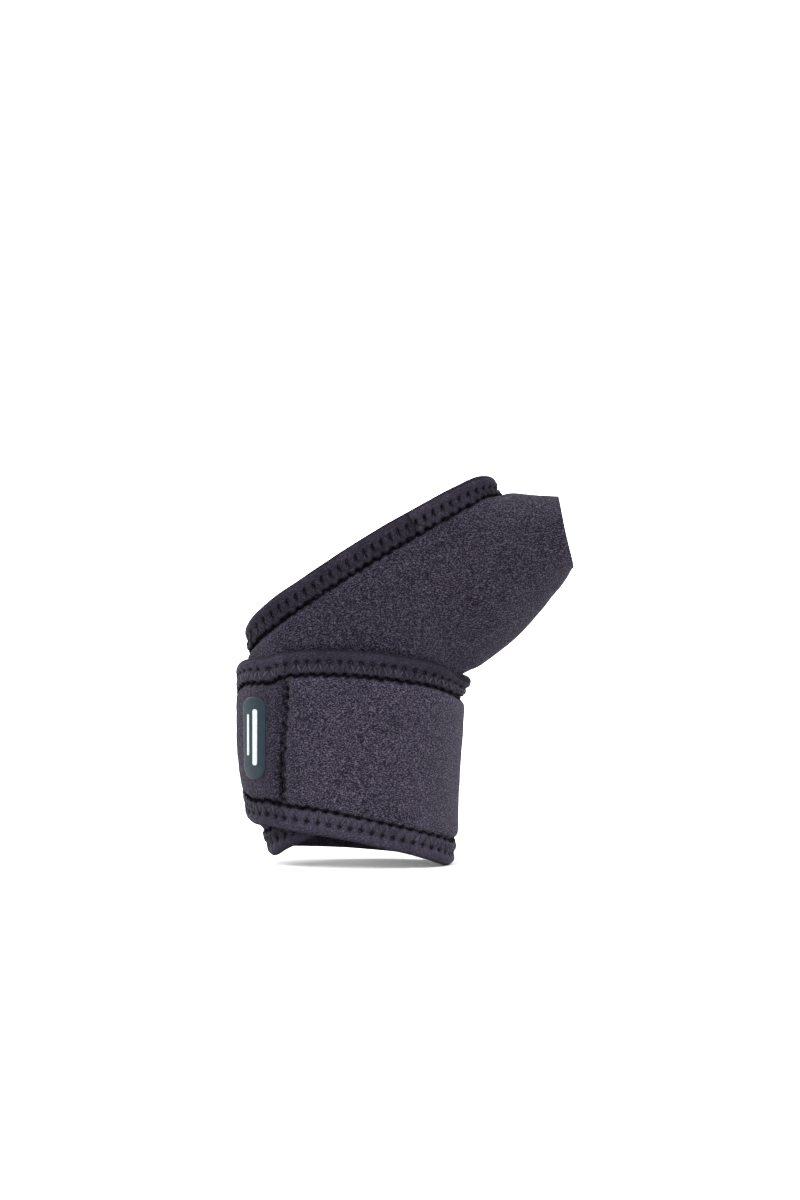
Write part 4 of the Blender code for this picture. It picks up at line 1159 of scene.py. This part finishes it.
# ---- seam beside the hook patch: a row of straight stitches sunk in the groove
def seam_stitches():
    t = np.linspace(0, 1, 7)
    paths = []
    for start in np.arange(float(bottom_edge(TAB_ANGLE)) + TAPE_WIDTH + 1.0,
                           float(top_edge(TAB_ANGLE)) - TAPE_WIDTH - 3.0, SEAM_PITCH):
        heights = start + 2.5 * t
        angles = seam_angle(heights)
        points = place(angles, heights)
        rise = 2.48 - 0.35 * (1 - np.sin(np.pi * t)**0.5)
        paths.append(points + rise[:, None] * normals_at(points, angles))
    return make_tubes("hook_seam_stitches", paths, 0.2, 6, DARK_THREAD)


STRAP.append((None, seam_stitches()))


# ---- badge: moulded oblong on the tab, with two plain bars
def badge_points(x, y, height):
    """Points over the tab, x towards growing angle and y up from the badge's centre."""
    angle, middle = BADGE_SPOT
    centre = place(np.array([angle]), np.array([middle]))[0]
    normal = normals_at(centre[None], np.array([angle]))[0]
    across = unit(np.cross(normal, np.array([0.0, 0.0, 1.0])))
    up = np.cross(across, normal)
    points = centre + x[..., None] * across + y[..., None] * up
    hint = np.full(points.shape[:-1], angle)
    points = project(points, hint)
    return points + height * normals_at(points, hint)


def pad(name, centre, size, radius, heights, bevel, material, rings=9, per_corner=10):
    """Rounded oblong between two heights, with a rounded rim."""
    turn = np.concatenate([np.radians(np.linspace(start, start + 90, per_corner))
                           for start in (0, 90, 180, 270)])
    signs = np.repeat(np.array([(1, 1), (-1, 1), (-1, -1), (1, -1)]), per_corner, axis=0)
    low, high = heights
    profile = [(0.0, low)]                     # (inset from the outline, height)
    profile += [(bevel * (1 - np.cos(t)), high - bevel + bevel * np.sin(t))
                for t in np.linspace(0, np.pi / 2, 5)]
    profile += [(inset, high) for inset in np.linspace(bevel, min(size) / 2 * 0.985, rings)[1:]]
    loops = []
    for inset, height in profile:
        corner = max(radius - inset, 0.02)
        x = centre[0] + signs[:, 0] * (size[0] / 2 - inset - corner) + corner * np.cos(turn)
        y = centre[1] + signs[:, 1] * (size[1] / 2 - inset - corner) + corner * np.sin(turn)
        loops.append(badge_points(x, y, height))
    points = np.array(loops)
    rows, columns = points.shape[:2]
    count = rows * columns
    last = count - columns + np.arange(columns)
    tip = np.full(columns, count)
    cap = np.stack([last, np.roll(last, -1), tip, tip], -1)
    return make_mesh(name, np.vstack([points.reshape(-1, 3), points[-1].mean(0)]),
                     np.vstack([grid_quads(rows, columns, close=True), cap]),
                     material)


BADGE = [
    ("badge", pad("badge_body", centre=(0, 0), size=BADGE_SIZE, radius=3.7,
                  heights=(3.0, 4.3), bevel=0.45, material=SILICONE)),
    (None, pad("badge_bar_wide", centre=(-0.85, 0.2), size=(1.7, 17.0), radius=0.74,
               heights=(4.1, 4.40), bevel=0.10, material=PRINT, rings=4)),
    (None, pad("badge_bar_narrow", centre=(1.75, 0.9), size=(0.75, 12.5), radius=0.34,
               heights=(4.1, 4.38), bevel=0.08, material=PRINT, rings=4))]


# ---- which body the wrap and badge move with; the strap and tab stay where they are
def attach(pieces, hold):
    for cad_name, obj in pieces:
        hold(obj)
        if cad_name:
            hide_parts(cad_name)


def bend_with_strap(obj):
    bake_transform(obj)


def bend_with_tab(obj):
    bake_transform(obj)


attach(WRAP, lambda obj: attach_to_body(obj, "wrist_wrap"))
attach(STRAP, bend_with_strap)
attach(TAB, bend_with_tab)
attach(BADGE, lambda obj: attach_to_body(obj, "hook_tab"))


# ---- stage, lights, world and camera (metres)
def paper_material():
    """Paper that fades to white away from the object, past the reach of the lamps."""
    shader = Shader("studio_paper")
    away = shader.node("ShaderNodeVectorMath", {0: shader.place}, "LENGTH").outputs["Value"]
    fade = shader.node("ShaderNodeMapRange", {"From Min": 0.35, "From Max": 0.8, "Value": away})
    seen = shader.node("ShaderNodeLightPath").outputs["Is Camera Ray"]
    shader.fill(shader.surface, {
        "Base Color": (0.86, 0.86, 0.86, 1),
        "Roughness": 0.9,
        "Specular IOR Level": 0.1,
        "Emission Strength": shader.math("MULTIPLY", fade.outputs["Result"], seen),
        "Emission Color": (1, 1, 1, 1)})
    return shader.material


def build_stage():
    """Floor that curves up into a wall behind the object."""
    material = paper_material()
    bend_y, bend_radius, half_width = 0.45, 0.5, 7.0
    profile = [(-7.0, 0.0), (bend_y, 0.0)]                           # (y, z)
    profile += [(bend_y + bend_radius * np.sin(t), bend_radius - bend_radius * np.cos(t))
                for t in np.linspace(0.15, np.pi / 2, 12)]
    profile += [(bend_y + bend_radius, 3.0)]
    points = [(float(x), float(y), float(z)) for y, z in profile
              for x in (-half_width, half_width)]
    quads = [(2 * i, 2 * i + 1, 2 * i + 3, 2 * i + 2) for i in range(len(profile) - 1)]
    mesh = bpy.data.meshes.new("studio_floor")
    mesh.from_pydata(points, [], quads)
    mesh.polygons.foreach_set("use_smooth", [True] * len(quads))
    obj = bpy.data.objects.new("studio_floor", mesh)
    mesh.materials.append(material)
    bpy.context.scene.collection.objects.link(obj)


MIDDLE = (0, 0, 0.06)
# name, place, target, disk size, power in watts
LIGHTS = (
    ("key", (-0.45, -0.75, 0.75), MIDDLE, 0.7, 13.0),
    ("fill", (0.75, -0.6, 0.35), MIDDLE, 0.9, 6.5),
    ("rim_left", (-0.7, 0.35, 0.35), MIDDLE, 0.5, 7.0),
    ("rim_right", (0.6, 0.4, 0.4), MIDDLE, 0.5, 5.0),
    ("top", (0.0, -0.1, 1.0), MIDDLE, 0.8, 7.0),
    ("low", (-0.1, -1.0, 0.12), (0, 0, 0.03), 0.5, 2.5))


def add_light(name, position, target, size, power):
    data = bpy.data.lights.new(name, "AREA")
    data.shape = "DISK"
    data.size = size
    data.energy = power
    obj = bpy.data.objects.new(name, data)
    obj.location = position
    aim = Vector(target) - Vector(position)
    obj.rotation_euler = aim.to_track_quat("-Z", "Y").to_euler()
    bpy.context.scene.collection.objects.link(obj)


def build_world():
    """White, brighter to the camera than to the object."""
    lit, extra_seen = 0.55, 0.5
    world = bpy.data.worlds.new("studio")
    world.use_nodes = True
    tree = world.node_tree
    background = tree.nodes["Background"]
    background.inputs["Color"].default_value = (1, 1, 1, 1)
    seen = tree.nodes.new("ShaderNodeLightPath")
    level = tree.nodes.new("ShaderNodeMath")
    level.operation = "MULTIPLY_ADD"
    level.inputs[1].default_value = extra_seen
    level.inputs[2].default_value = lit
    tree.links.new(seen.outputs["Is Camera Ray"], level.inputs[0])
    tree.links.new(level.outputs[0], background.inputs["Strength"])
    bpy.context.scene.world = world


def build_camera():
    """Looks along +y at the back of the hand."""
    sensor = 36.0
    view_height = 369.6                        # mm seen at the given distance
    distance = 1.10
    centre_x, centre_z = SHIFT[0] - 1.54, SHIFT[2] + 81.93
    data = bpy.data.cameras.new("camera")
    camera = bpy.data.objects.new("camera", data)
    bpy.context.scene.collection.objects.link(camera)
    data.sensor_fit = "VERTICAL"
    data.sensor_height = sensor
    data.lens = sensor / (view_height * MM) * distance
    data.clip_start = 0.05
    data.clip_end = 20
    camera.location = (centre_x * MM, -distance - 0.015, centre_z * MM)
    camera.rotation_euler = (np.pi / 2, 0, 0)
    bpy.context.scene.camera = camera
    bpy.context.scene.view_settings.view_transform = "Standard"


build_stage()
for entry in LIGHTS:
    add_light(*entry)
build_world()
build_camera()
